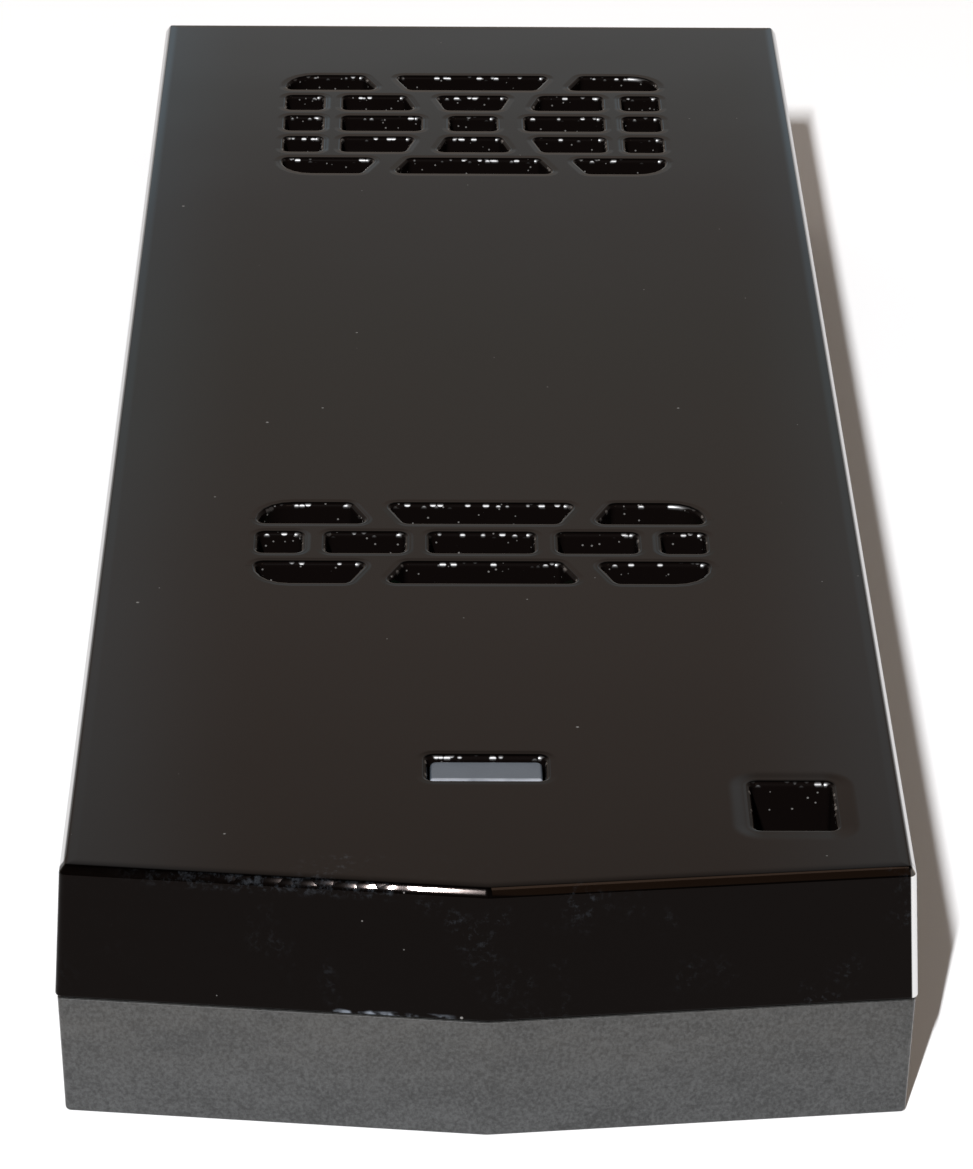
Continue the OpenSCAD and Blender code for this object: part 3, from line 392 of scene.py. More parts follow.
@dataclass(frozen=True)
class Opening:
    """A hole through a skin, with the outline of its wall."""

    corners: Array
    radii: Array
    steps: int = 6
    hold: float = 0.06

    def rings(self, profile: Array) -> Array:
        """Carries a profile of distances outside the wall and heights round the outline."""
        flat = rounded(self.corners[None], self.radii[None], self.steps, profile[:, :1], self.hold)
        return lift(flat, profile[:, 1])


@dataclass(frozen=True)
class CaseForm:
    """Sizes that both covers share, with places along the case measured from the tip of its nose.

    From the wall up, the top edge has a heel, a broad band, a toe and a roll, whose widths are measured along
    the profile. Lean, turn and roll are in degrees. A support is the distance of an extra ring beside an
    edge, which keeps the shading of the faces next to it flat.
    """

    half_w: float
    nose_y: float
    end_y: float
    seam_z: float
    top_z: float
    nose_depth: float = 2.0
    wall_t: float = 1.3
    skin_t: float = 1.2
    top_draft: float = 0.37
    bottom_draft: float = 0.2
    seam_step: float = 0.1
    edge_r: float = 0.2
    corner_r: float = 0.35
    least_r: float = 0.1
    inner_r: float = 0.35
    tip_r: float = 1.5
    heel_w: float = 0.13
    band_lean: float = 34.5
    band_turn: float = 8.0
    band_w: float = 0.40
    toe_w: float = 0.02
    roll: float = 4.0
    roll_w: float = 0.45
    seam_break: float = 0.1
    seam_gap: float = 0.13
    rim_break: float = 0.03
    support: float = 0.03
    light_size: Pair = (5.25, 2.1)
    light_at: Pair = (0.0, 10.8)
    strap_size: Pair = (3.55, 4.1)
    strap_at: Pair = (13.45, 7.45)
    hole_r: float = 0.28
    collar_t: float = 0.8
    clip_ys: tuple[float, ...] = (39.2, 65.7, 84.0)
    corner_steps: int = 7
    edge_steps: int = 9
    band_steps: int = 5
    break_steps: int = 5

    @classmethod
    def from_frame(cls) -> "CaseForm":
        """Takes the case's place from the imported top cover."""
        low, high = span("top_cover")
        return cls(half_w=high[0], nose_y=low[1], end_y=high[1], seam_z=low[2], top_z=high[2])

    @property
    def ceiling_z(self) -> float:
        """Height of the inside of the top skin."""
        return self.top_z - self.skin_t

    @property
    def inner_x(self) -> float:
        """Half of the width inside the walls."""
        return self.half_w - self.wall_t

    def hole(self, size: Pair, at: Pair) -> Opening:
        """An oblong hole through a cover, with rounded corners."""
        return Opening(box_corners(*size) + np.array([at[0], self.nose_y + at[1]]), np.full(4, self.hole_r))

    def clips(self) -> list[tuple[int, float]]:
        """The side and the middle of each clip between the covers."""
        return [(side, self.nose_y + y) for side in SIDES for y in self.clip_ys]

    def lean(self, z: Array) -> Array:
        """How far the outside of either cover leans in, which grows evenly with the distance from the seam.

        Args:
            z: Heights.

        Returns:
            The lean at each height.
        """
        up = np.clip((z - self.seam_z) / (self.top_z - self.seam_z), 0, 1)
        down = np.clip((self.seam_z - z) / self.seam_z, 0, 1)
        return self.top_draft * up + self.bottom_draft * down

    def top_edge(self) -> Array:
        """Profile of the top edge, from the wall up to the top face.

        The outward normal turns quickly from level to the broad band of the edge, slowly across the band,
        quickly again almost to upright, and slowly over the last few degrees. Insets add up its sine and
        heights its cosine along the way.

        Returns:
            Insets and heights, one row for each point.
        """
        low, high = self.band_lean - self.band_turn / 2, self.band_lean + self.band_turn / 2
        turns = np.array([0, low, high, 90 - self.roll, 90])
        widths = np.array([self.heel_w, self.band_w, self.toe_w, self.roll_w])
        steps = self.band_steps
        share = (np.arange(steps) + 0.5) / steps
        middle = np.radians(turns[:-1, None] + np.diff(turns)[:, None] * share).ravel()
        length = np.repeat(widths / steps, steps)
        inset = np.concatenate([[0], np.cumsum(length * np.sin(middle))])
        rise = np.concatenate([[0], np.cumsum(length * np.cos(middle))])
        return np.column_stack([inset, self.top_z - rise[-1] + rise])

    def rings(self, profile: Array, leaning: bool) -> Array:
        """Carries a profile round the plan of the case.

        The plan has a shallow V nose and a square plug end. Each point of the profile draws the plan in by
        its first number and stands at the height of its second. Corner radii shrink as the plan is drawn in.

        Args:
            profile: Insets and heights, one row for each ring.
            leaning: Whether the sides lean in with height.

        Returns:
            Points of the rings, in three axes.
        """
        inset, z = profile.T
        slope = self.nose_depth / self.half_w
        x = self.half_w - inset - (self.lean(z) if leaning else 0.0)
        shift = inset * math.hypot(1, slope) + self.nose_y
        side_y = slope * x + shift
        rear_y = self.end_y - inset
        corners = np.stack([
            np.stack([0 * x, shift], -1), np.stack([x, side_y], -1), np.stack([x, rear_y], -1),
            np.stack([-x, rear_y], -1), np.stack([-x, side_y], -1),
        ], 1)
        corner_r = np.maximum(self.corner_r - inset, self.least_r if leaning else self.inner_r)
        radii = np.stack([np.full_like(x, self.tip_r)] + 4 * [corner_r], 1)
        return lift(rounded(corners, radii, self.corner_steps), z)


CASE = CaseForm.from_frame()


# Shader maths


class Field:
    """One value in a material, with arithmetic that adds Math nodes."""

    def __init__(self, paint: "Paint", socket: bpy.types.NodeSocket) -> None:
        """Wraps a socket of a material."""
        self.paint = paint
        self.socket = socket

    def _math(self, operation: str, first: Any, second: Any = 0.0) -> "Field":
        """Adds one Math node."""
        return self.paint.node("ShaderNodeMath", {"operation": operation}, {0: first, 1: second})

    def __add__(self, other: Any) -> "Field":
        """Sum."""
        return self._math("ADD", self, other)

    __radd__ = __add__

    def __sub__(self, other: Any) -> "Field":
        """Difference."""
        return self._math("SUBTRACT", self, other)

    def __rsub__(self, other: Any) -> "Field":
        """Difference, turned round."""
        return self._math("SUBTRACT", other, self)

    def __mul__(self, other: Any) -> "Field":
        """Product."""
        return self._math("MULTIPLY", self, other)

    __rmul__ = __mul__

    def __gt__(self, other: Any) -> "Field":
        """One where this is the greater, and nothing elsewhere."""
        return self._math("GREATER_THAN", self, other)

    def __abs__(self) -> "Field":
        """Size without its sign."""
        return self._math("ABSOLUTE", self)

    def ramp(self, low: float, high: float) -> "Field":
        """Nothing below low, one above high, and a smooth rise between them."""
        inputs = {"Value": self, "From Min": low, "From Max": high}
        return self.paint.node("ShaderNodeMapRange", {"interpolation_type": "SMOOTHSTEP"}, inputs)

    def most(self, other: Any) -> "Field":
        """The greater of two."""
        return self._math("MAXIMUM", self, other)


class Paint:
    """The nodes of one material or world."""

    def __init__(self, tree: bpy.types.NodeTree) -> None:
        """Clears a node tree and writes in it."""
        self.tree = tree
        tree.nodes.clear()

    def node(self, kind: str, settings: dict[str, Any], inputs: dict[Any, Any], output: Any = 0) -> Field:
        """Adds a node.

        Args:
            kind: Type of the node.
            settings: Properties to set on it first, with a colour ramp's stops under "stops".
            inputs: Values or fields for its sockets, by name or number.
            output: Name or number of the socket to return.

        Returns:
            The output socket as a field.
        """
        made = self.tree.nodes.new(kind)
        for name, value in settings.items():
            if name == "stops":
                self._stops(made.color_ramp, value)
            else:
                setattr(made, name, value)
        for name, value in inputs.items():
            if isinstance(value, Field):
                self.tree.links.new(value.socket, made.inputs[name])
            else:
                made.inputs[name].default_value = value
        return Field(self, made.outputs[output]) if made.outputs else Field(self, None)

    @staticmethod
    def _stops(ramp: bpy.types.ColorRamp, stops: Sequence[tuple[float, Colour]]) -> None:
        """Sets a colour ramp.

        Args:
            ramp: The ramp, with its two first stops.
            stops: Place and colour of each stop.
        """
        while len(ramp.elements) < len(stops):
            ramp.elements.new(1.0)
        for element, (place, colour) in zip(ramp.elements, stops):
            element.position = place
            element.color = (*colour, 1.0)

    def split(self, vector: Field) -> tuple[Field, ...]:
        """The three numbers of a vector, one by one."""
        made = self.node("ShaderNodeSeparateXYZ", {}, {0: vector}).socket.node
        return tuple(Field(self, socket) for socket in made.outputs)

    def place(self, stretch: Corner = (1.0, 1.0, 1.0)) -> Field:
        """The piece's own coordinates in millimetres.

        Args:
            stretch: What each axis is multiplied by.

        Returns:
            The coordinates as a vector.
        """
        here = self.node("ShaderNodeTexCoord", {}, {}, "Object")
        scale = tuple(s / MM for s in stretch)
        return self.node("ShaderNodeMapping", {}, {"Vector": here, "Scale": scale})

    def axes(self) -> tuple[Field, ...]:
        """The piece's own coordinates in millimetres, one by one."""
        return self.split(self.place())

    def facing(self) -> tuple[Field, ...]:
        """The way that the surface faces, one axis at a time."""
        return self.split(self.node("ShaderNodeTexCoord", {}, {}, "Normal"))

    def noise(self, size: float, detail: float = 2.0, stretch: Corner = (1.0, 1.0, 1.0),
              rough: float = 0.5) -> Field:
        """Soft noise with features of about a size in millimetres."""
        inputs = {"Vector": self.place(stretch), "Scale": 1 / size, "Detail": detail, "Roughness": rough}
        return self.node("ShaderNodeTexNoise", {}, inputs, "Fac")

    def specks(self, spacing: float, radius: float, share: float, core: float = 0.6) -> Field:
        """Scattered round specks, at most one in each cell.

        Args:
            spacing: Size of a cell.
            radius: Radius of a speck.
            share: Share of the cells that hold a speck.
            core: Share of the radius within which a speck is full.

        Returns:
            One on a speck and nothing elsewhere, with a soft edge.
        """
        inputs = {"Vector": self.place(), "Scale": 1 / spacing}
        near = self.node("ShaderNodeTexVoronoi", {}, inputs, "Distance")
        cell = self.node("ShaderNodeTexVoronoi", {}, inputs, "Color")
        chance = self.node("ShaderNodeSeparateColor", {}, {0: cell}, 0)
        inside = 1 - near.ramp(core * radius / spacing, radius / spacing)
        return inside * (chance > 1 - share)

    def beads(self, spacing: float) -> Field:
        """Rounded beads, one in each cell, whose height falls with the distance squared.

        Args:
            spacing: Size of a cell.

        Returns:
            The height.
        """
        inputs = {"Vector": self.place(), "Scale": 1 / spacing}
        near = self.node("ShaderNodeTexVoronoi", {}, inputs, "Distance")
        return 1 - near * near

    def mix(self, share: Any, first: Any, second: Any, how: str = "MIX") -> Field:
        """A colour between two colours, or the first one changed by the second.

        Args:
            share: How much of the second colour there is.
            first: Colour where the share is nothing.
            second: Colour where the share is one.
            how: Blend type of the node.

        Returns:
            The colour.
        """
        settings = {"data_type": "RGBA", "blend_type": how}
        ends = dict(zip(MIX_ENDS, (self._colour(first), self._colour(second))))
        return self.node("ShaderNodeMix", settings, {0: share, **ends}, MIX_RESULT)

    @staticmethod
    def _colour(value: Any) -> Any:
        """A colour with its fourth number, or a field as it is."""
        return value if isinstance(value, Field) else (*value, 1.0)

    def bump(self, height: Field, depth: float) -> Field:
        """A normal raised by a height, of a depth in millimetres."""
        return self.node("ShaderNodeBump", {}, {"Height": height, "Distance": depth * MM})

    def shader(self, **sockets: Any) -> Field:
        """A Principled shader.

        Args:
            **sockets: Values or fields for its sockets, whose names have underscores for spaces.

        Returns:
            The shader.
        """
        named = {name.replace("_", " "): value for name, value in sockets.items()}
        named["Base Color"] = self._colour(named["Base Color"])
        return self.node("ShaderNodeBsdfPrincipled", {}, named)

    def blend(self, share: Field, first: Field, second: Field) -> Field:
        """A shader between two shaders."""
        return self.node("ShaderNodeMixShader", {}, {0: share, 1: first, 2: second})

    def end(self, shader: Field) -> None:
        """Ends the material with a shader."""
        self.node("ShaderNodeOutputMaterial", {}, {"Surface": shader})

    def finish(self, **sockets: Any) -> None:
        """Ends the material with one Principled shader."""
        self.end(self.shader(**sockets))


# Finishes, where a pair of numbers says at what value a change starts and at what value it is full


@dataclass(frozen=True)
class Finish:
    """A finish: its name and its main colour."""

    name: str
    colour: Colour

    def write(self, paint: Paint) -> None:
        """Writes the finish's nodes."""
        raise NotImplementedError

    def material(self) -> bpy.types.Material:
        """Makes the finish's material once.

        Returns:
            The material.
        """
        name = f"{self.name}_finish"
        made = bpy.data.materials.get(name)
        if made is None:
            made = bpy.data.materials.new(name)
            made.use_nodes = True
            self.write(Paint(made.node_tree))
        return made

    def dress(self, piece: Piece) -> None:
        """Gives a piece this finish all over."""
        piece.data.materials.clear()
        piece.data.materials.append(self.material())

    def shade(self, amount: float) -> Colour:
        """The colour made lighter or darker by an amount."""
        return tuple(min(1.0, c * amount) for c in self.colour)

    def cloudy(self, paint: Paint, share: Field, swing: float) -> Field:
        """The colour made darker by a swing where the share is nothing and lighter by it where it is one."""
        return paint.mix(share, self.shade(1 - swing), self.shade(1 + swing))


@dataclass(frozen=True)
class GlossPlastic(Finish):
    """Polished moulded plastic with a faint haze and a few dust specks."""

    roughness: float = 0.04
    ior: float = 1.165
    sheen: Colour = (1.0, 0.82, 0.76)
    coat_roughness: float = 0.03
    coat_ior: float = 12.0
    wave_w: float = 14.0
    wave_h: float = 0.02
    haze_w: float = 9.0
    haze_swing: float = 0.2
    haze_roughness: float = 0.02
    dust: float = 0.5
    dust_gap: float = 2.6
    dust_r: float = 0.09
    lint_per_dust: float = 0.125
    lint_gap: float = 0.9
    lint_r: float = 0.05
    lint_tone: float = 0.6
    dirt: Colour = (0.14, 0.135, 0.13)
    dirt_roughness: float = 0.5
    patch_w: float = 5.0
    patch: Pair = (0.56, 0.76)
    mark_w: float = 0.35
    mark: Pair = (0.5, 0.75)
    smear: Colour = (0.020, 0.023, 0.027)
    # pale colour of the chips, painted bright as a highlight
    glint_chip: Colour = (0.17, 0.19, 0.22)

    def glint_chips(self, paint: Paint) -> Union[float, Field]:
        """Where an edge is chipped pale, in a colour that is a painted highlight."""
        return 0.0

    def coat(self, paint: Paint) -> Union[float, Field]:
        """How much clear coat lies on top."""
        return 0.0

    def waves(self, paint: Paint) -> Field:
        """Slow waves left by the mould, as a height."""
        return paint.noise(self.wave_w, detail=1.0)

    def smears(self, paint: Paint) -> Field:
        """Patches of fine marks left by fingers."""
        marks = paint.noise(self.mark_w, detail=4.0, rough=0.7).ramp(*self.mark)
        return paint.noise(self.patch_w).ramp(*self.patch) * marks

    def polish(self, paint: Paint) -> Field:
        """Haze varies the colour and the roughness, and smears, specks of dust and pale chips lie on top; the
        chips' pale colour is a painted highlight.

        Args:
            paint: Nodes of the material.

        Returns:
            The shader.
        """
        haze = paint.noise(self.haze_w, detail=3.0)
        dust = paint.specks(self.dust_gap, self.dust_r, self.dust)
        lint = paint.specks(self.lint_gap, self.lint_r, self.lint_per_dust * self.dust)
        soil = dust.most(lint * self.lint_tone)
        smeared = paint.mix(self.smears(paint), self.cloudy(paint, haze, self.haze_swing), self.smear)
        dusty = paint.mix(soil, smeared, self.dirt)
        return paint.shader(
            # the pale chips mixed in here are a painted highlight
            Base_Color=paint.mix(self.glint_chips(paint), dusty, self.glint_chip),
            Roughness=self.roughness + self.haze_roughness * haze + self.dirt_roughness * soil,
            IOR=self.ior,
            Specular_Tint=(*self.sheen, 1.0),
            Coat_Weight=self.coat(paint),
            Coat_Roughness=self.coat_roughness,
            Coat_IOR=self.coat_ior,
            Normal=paint.bump(self.waves(paint), self.wave_h),
        )

    def write(self, paint: Paint) -> None:
        """The polish all over."""
        paint.end(self.polish(paint))


@dataclass(frozen=True)
class CoverGloss(GlossPlastic):
    """The top cover's polish, with gritty walls in its openings and a coat along its edges.

    Places are measured in from the case's nose, sides and end or down from its top face, and along the front
    from its middle.
    """

    case: CaseForm = CASE
    corner_in: float = 2.744
    corner_fade: float = 0.2
    fore: Pair = (-0.3, 0.0)
    strip_w: float = 0.3
    strip_fade: float = 0.06
    strip_z: Pair = (-0.6, -0.4)
    right_x: Pair = (0.0, 1.0)
    bare_h: Pair = (0.08, 0.2)
    # where the chips with their painted highlight lie along the front's lower edge
    glint_chip_x: Pair = (-8.0, -1.2)
    glint_chip_fades: Pair = (1.5, 0.8)
    glint_chip_h: float = 0.42
    glint_chip_fade: float = 0.16
    glint_chip_w: float = 0.5
    glint_chip_run: Corner = (0.6, 1.0, 1.0)
    glint_chip_rise: Pair = (0.46, 0.74)
    knock_h: Pair = (0.02, 0.08)
    knock_x: Pair = (3.0, 4.5)
    nick_w: float = 1.0
    nick_h: float = 0.8
    scuff_h: float = 0.9
    scuff_fade: float = 0.5
    scuff_x: Pair = (2.0, 9.0)
    scuff_w: float = 0.45
    scuff_rise: Pair = (0.46, 0.72)
    scuff_tone: float = 0.75
    smear_y: Pair = (-0.5, 0.0)
    margin_x: float = 2.2
    margin_y: Pair = (4.644, 1.25)
    margin_fade: float = 0.3
    wall_h: Pair = (0.03, 0.07)
    wall: Colour = (0.0028, 0.0019, 0.0017)
    wall_roughness: float = 0.11
    wall_ior: float = 1.12
    mote: Colour = (0.12, 0.115, 0.11)
    mote_gap: float = 0.36
    mote_r: float = 0.06
    mote_share: float = 0.5
    mote_roughness: float = 0.3
    lip_h: float = 0.3
    lip_fade: float = 0.1
    spark_gap: float = 0.46
    spark_r: float = 0.18
    spark_share: float = 1.0
    spark_roughness: float = 0.4
    spark_ior: float = 2.2
    glint_left: Pair = (0.03, 0.1)
    glint_end: Pair = (-0.5, -0.35)
    glint_near: Pair = (0.3, 0.5)

    @property
    def corner_y(self) -> float:
        """Where the front faces meet the sides."""
        return self.case.nose_y + self.corner_in

    def coat(self, paint: Paint) -> Field:
        """The top edges of the sides and the front's right corner are coated.

        Args:
            paint: Nodes of the material.

        Returns:
            How much coat there is.
        """
        case = self.case
        x, y, z = paint.axes()
        lean = (z - case.seam_z) * (case.top_draft / (case.top_z - case.seam_z))
        side = (abs(x) + lean - case.half_w).ramp(-self.strip_w, self.strip_fade - self.strip_w)
        front = (self.corner_y - y).ramp(0.0, self.corner_fade)
        edge = (z - case.top_z).ramp(*self.strip_z) * (1 - front)
        ends = edge.most(front * x.ramp(*self.right_x))
        return side * ends * (case.top_z - z).ramp(*self.bare_h)

    def glint_chips(self, paint: Paint) -> Field:
        """Small pale chips along a stretch of the front's lower edge, whose pale colour is a painted
        highlight standing in for glints.

        Args:
            paint: Nodes of the material.

        Returns:
            Where the chips and their painted highlight are.
        """
        x, y, z = paint.axes()
        (low, high), (low_fade, high_fade) = self.glint_chip_x, self.glint_chip_fades
        stretch = (x - low).ramp(0.0, low_fade) * (high - x).ramp(0.0, high_fade)
        rim = (self.case.seam_z + self.glint_chip_h - z).ramp(0.0, self.glint_chip_fade)
        chipped_glints = paint.noise(self.glint_chip_w, detail=3.0, stretch=self.glint_chip_run).ramp(*self.glint_chip_rise)
        return stretch * (self.corner_y - y).ramp(*self.fore) * rim * chipped_glints

    def knocked(self, paint: Paint) -> Field:
        """The stretch of the front's top edge, left of the middle, that has taken knocks.

        Args:
            paint: Nodes of the material.

        Returns:
            Where the stretch is.
        """
        x, y, z = paint.axes()
        front = (self.corner_y - y).ramp(*self.fore)
        return front * (self.case.top_z - z).ramp(*self.knock_h) * (0 - x).ramp(*self.knock_x)

    def smears(self, paint: Paint) -> Field:
        """Marks on the front faces, and scuffs along the knocked edge.

        Args:
            paint: Nodes of the material.

        Returns:
            How strong the marks are.
        """
        x, y, z = paint.axes()
        upper = (z - self.case.top_z + self.scuff_h).ramp(0.0, self.scuff_fade)
        edge = self.knocked(paint) * upper * (x + self.case.half_w).ramp(*self.scuff_x)
        rubbed = paint.noise(self.scuff_w, detail=4.0, rough=0.75).ramp(*self.scuff_rise)
        marks = super().smears(paint) * (self.corner_y - y).ramp(*self.smear_y)
        return (self.scuff_tone * edge * rubbed).most(marks)

    def waves(self, paint: Paint) -> Field:
        """Mould waves, and small nicks along the knocked edge."""
        return super().waves(paint) + self.knocked(paint) * paint.beads(self.nick_w) * self.nick_h

    def openings(self, paint: Paint) -> Field:
        """Where the lips and walls of the openings are: below the top face and in from the cover's edges.

        Args:
            paint: Nodes of the material.

        Returns:
            One in the openings and nothing elsewhere.
        """
        case, fade = self.case, self.margin_fade
        x, y, z = paint.axes()
        near, far = case.nose_y + self.margin_y[0], case.end_y - self.margin_y[1]
        across = (case.half_w - self.margin_x - abs(x)).ramp(0.0, fade)
        along = (y - near).ramp(0.0, fade) * (far - y).ramp(0.0, fade)
        return across * along * (case.top_z - z).ramp(*self.wall_h)

    def walls(self, paint: Paint) -> Field:
        """Dark walls with motes, whose lips glint on sparks of grit and at their far right corners.

        Args:
            paint: Nodes of the material.

        Returns:
            The shader.
        """
        _, _, z = paint.axes()
        lip = (z - self.case.top_z + self.lip_h).ramp(0.0, self.lip_fade)
        across, along, _ = paint.facing()
        turned = (0 - across).ramp(*self.glint_left) * across.ramp(*self.glint_end)
        corners = turned * (0 - along).ramp(*self.glint_near)
        sparks = paint.specks(self.spark_gap, self.spark_r, self.spark_share)
        motes = paint.specks(self.mote_gap, self.mote_r, self.mote_share)
        return paint.shader(
            Base_Color=paint.mix(motes, self.wall, self.mote),
            Roughness=self.wall_roughness + self.mote_roughness * motes,
            IOR=self.wall_ior,
            Coat_Weight=lip * corners.most(sparks),
            Coat_Roughness=self.spark_roughness,
            Coat_IOR=self.spark_ior,
        )

    def write(self, paint: Paint) -> None:
        """The polish, with the gritty walls in the openings."""
        paint.end(paint.blend(self.openings(paint), self.polish(paint), self.walls(paint)))


@dataclass(frozen=True)
class GrainedPlastic(Finish):
    """Moulded plastic with a fine spark-eroded grain, rubbed smoother along the sides."""

    case: CaseForm = CASE
    roughness: float = 0.55
    ior: float = 1.45
    grain_w: float = 0.16
    grain_h: float = 0.02
    grain_share: float = 0.78
    mottle_w: float = 1.3
    mottle_run: Corner = (0.45, 0.45, 1.0)
    mottle_share: float = 0.22
    mottle_roughness: float = 0.2
    tone: Pair = (0.3, 0.7)
    tone_swing: float = 0.55
    tint: Colour = (0.040, 0.032, 0.021)
    tint_share: float = 0.3
    tint_z: Pair = (0.5, 6.0)
    pit_gap: float = 1.1
    pit_r: float = 0.07
    pit_share: float = 0.08
    pit_tone: float = 0.5
    pit_shade: float = 2.2
    worn_in: float = 0.2
    worn_fade: float = 0.25
    worn_roughness: float = 0.35

    def write(self, paint: Paint) -> None:
        """A fine grain gives the bump, and soft mottling the colour and the roughness.

        Args:
            paint: Nodes of the material.
        """
        grain = paint.noise(self.grain_w, detail=3.0, rough=0.65)
        mottle = paint.noise(self.mottle_w, detail=4.0, stretch=self.mottle_run, rough=0.6)
        share = self.mottle_share * mottle + self.grain_share * grain
        pits = paint.specks(self.pit_gap, self.pit_r, self.pit_share)
        x, _, z = paint.axes()
        worn = (abs(x) - (self.case.half_w - self.worn_in)).ramp(-self.worn_fade, 0.0)
        tone = self.cloudy(paint, share.ramp(*self.tone), self.tone_swing)
        colour = paint.mix(self.tint_share * mottle * z.ramp(*self.tint_z), tone, self.tint)
        paint.finish(
            Base_Color=paint.mix(self.pit_tone * pits, colour, self.shade(self.pit_shade)),
            Roughness=self.roughness + self.mottle_roughness * (share - 0.5) - self.worn_roughness * worn,
            IOR=self.ior,
            Normal=paint.bump(grain, self.grain_h),
        )


@dataclass(frozen=True)
class PlatedMetal(Finish):
    """Plated or rolled sheet metal with fine brushing along one axis."""

    roughness: float = 0.26
    line_w: float = 0.12
    line_h: float = 0.002
    line_roughness: float = 0.14
    brush: Corner = (1.0, 0.05, 1.0)
    stain_w: float = 3.0
    stain_roughness: float = 0.1
    tarnish: float = 0.12
    bright: float = 0.4

    def write(self, paint: Paint) -> None:
        """Stretched noise gives the brushing, and broad noise a little tarnish.

        Args:
            paint: Nodes of the material.
        """
        lines = paint.noise(self.line_w, stretch=self.brush)
        stain = paint.noise(self.stain_w, detail=3.0)
        dull, clear = self.shade(1 - self.tarnish), self.shade(1 + self.bright * self.tarnish)
        paint.finish(
            Base_Color=paint.mix(stain, dull, clear),
            Metallic=1.0,
            Roughness=self.roughness + self.line_roughness * (lines - 0.5) + self.stain_roughness * stain,
            Normal=paint.bump(lines, self.line_h),
        )


@dataclass(frozen=True)
class MouldedPolymer(Finish):
    """Plain moulded polymer, rubber or epoxy with a soft grain."""

    roughness: float = 0.48
    ior: float = 1.45
    grain_w: float = 0.25
    grain_h: float = 0.006
    grain_roughness: float = 0.12
    cloud_w: float = 2.2
    cloud_swing: float = 0.18

    def write(self, paint: Paint) -> None:
        """Two sizes of noise vary the colour, the roughness and the surface.

        Args:
            paint: Nodes of the material.
        """
        grain = paint.noise(self.grain_w, detail=3.0)
        paint.finish(
            Base_Color=self.cloudy(paint, paint.noise(self.cloud_w), self.cloud_swing),
            Roughness=self.roughness + self.grain_roughness * (grain - 0.5),
            IOR=self.ior,
            Normal=paint.bump(grain, self.grain_h),
        )


@dataclass(frozen=True)
class FrostedPipe(Finish):
    """Frosted clear plastic that carries light."""

    case: CaseForm = CASE
    roughness: float = 0.34
    ior: float = 1.49
    frost_w: float = 0.1
    frost_h: float = 0.004
    frost_roughness: float = 0.15
    cloud_w: float = 1.4
    cloud_swing: float = 0.1
    # colour of the near rim: a painted highlight
    rim: Colour = (0.30, 0.32, 0.36)
    highlight_rim_at: float = 10.154
    highlight_rim_fade: float = 0.06
    highlight_rim_least: float = 0.45
    highlight_rim_cloud: Pair = (0.35, 0.6)

    def write(self, paint: Paint) -> None:
        """Milky body with a fine frost, and a brighter colour along the head's near rim that is a painted
        highlight.

        Args:
            paint: Nodes of the material.
        """
        frost = paint.noise(self.frost_w, detail=3.0)
        cloud = paint.noise(self.cloud_w)
        _, y, _ = paint.axes()
        # a brighter colour along the head's near rim, painted as a highlight
        near = (self.case.nose_y + self.highlight_rim_at - y).ramp(-self.highlight_rim_fade, self.highlight_rim_fade)
        rim = near * (self.highlight_rim_least + (1 - self.highlight_rim_least) * cloud.ramp(*self.highlight_rim_cloud))
        paint.finish(
            Base_Color=paint.mix(rim, self.cloudy(paint, cloud, self.cloud_swing), self.rim),
            Roughness=self.roughness + self.frost_roughness * frost,
            IOR=self.ior,
            Normal=paint.bump(frost, self.frost_h),
        )


@dataclass(frozen=True)
class BoardLaminate(Finish):
    """Solder mask over copper traces on glass laminate."""

    trace: Colour = (0.03, 0.17, 0.08)
    pitch: float = 1.1
    run: Corner = (1.0, 0.12, 1.0)
    track: Pair = (0.48, 0.54)
    land_r: float = 0.28
    land_share: float = 0.5
    copper_h: float = 0.03
    weave_w: float = 0.3
    weave_roughness: float = 0.12
    roughness: float = 0.32
    ior: float = 1.5

    def write(self, paint: Paint) -> None:
        """Broken bands along the stick show as lighter traces, with round lands between them.

        Args:
            paint: Nodes of the material.
        """
        lines = paint.noise(self.pitch, detail=0.0, stretch=self.run).ramp(*self.track)
        copper = lines.most(paint.specks(self.pitch, self.land_r, self.land_share))
        paint.finish(
            Base_Color=paint.mix(copper, self.colour, self.trace),
            Roughness=self.roughness + self.weave_roughness * paint.noise(self.weave_w),
            IOR=self.ior,
            Normal=paint.bump(copper, self.copper_h),
        )


@dataclass(frozen=True)
class WoundWire(Finish):
    """Enamelled wire wound in close turns."""

    turn_w: float = 0.14
    turn_h: float = 0.04
    wander: float = 0.4
    gap_painted_shade: float = 0.35
    gap_roughness: float = 0.2
    metallic: float = 0.85
    roughness: float = 0.3

    def write(self, paint: Paint) -> None:
        """Bands across the winding show its turns, with painted shade darkening the gaps between them.

        Args:
            paint: Nodes of the material.
        """
        inputs = {"Vector": paint.place(), "Scale": 1 / self.turn_w, "Distortion": self.wander}
        turns = paint.node("ShaderNodeTexWave", {"bands_direction": "Z"}, inputs, "Fac")
        paint.finish(
            # the gaps between turns are darkened: painted shade
            Base_Color=paint.mix(turns, self.shade(self.gap_painted_shade), self.colour),
            Metallic=self.metallic,
            Roughness=self.roughness + self.gap_roughness * (1 - turns),
            Normal=paint.bump(turns, self.turn_h),
        )


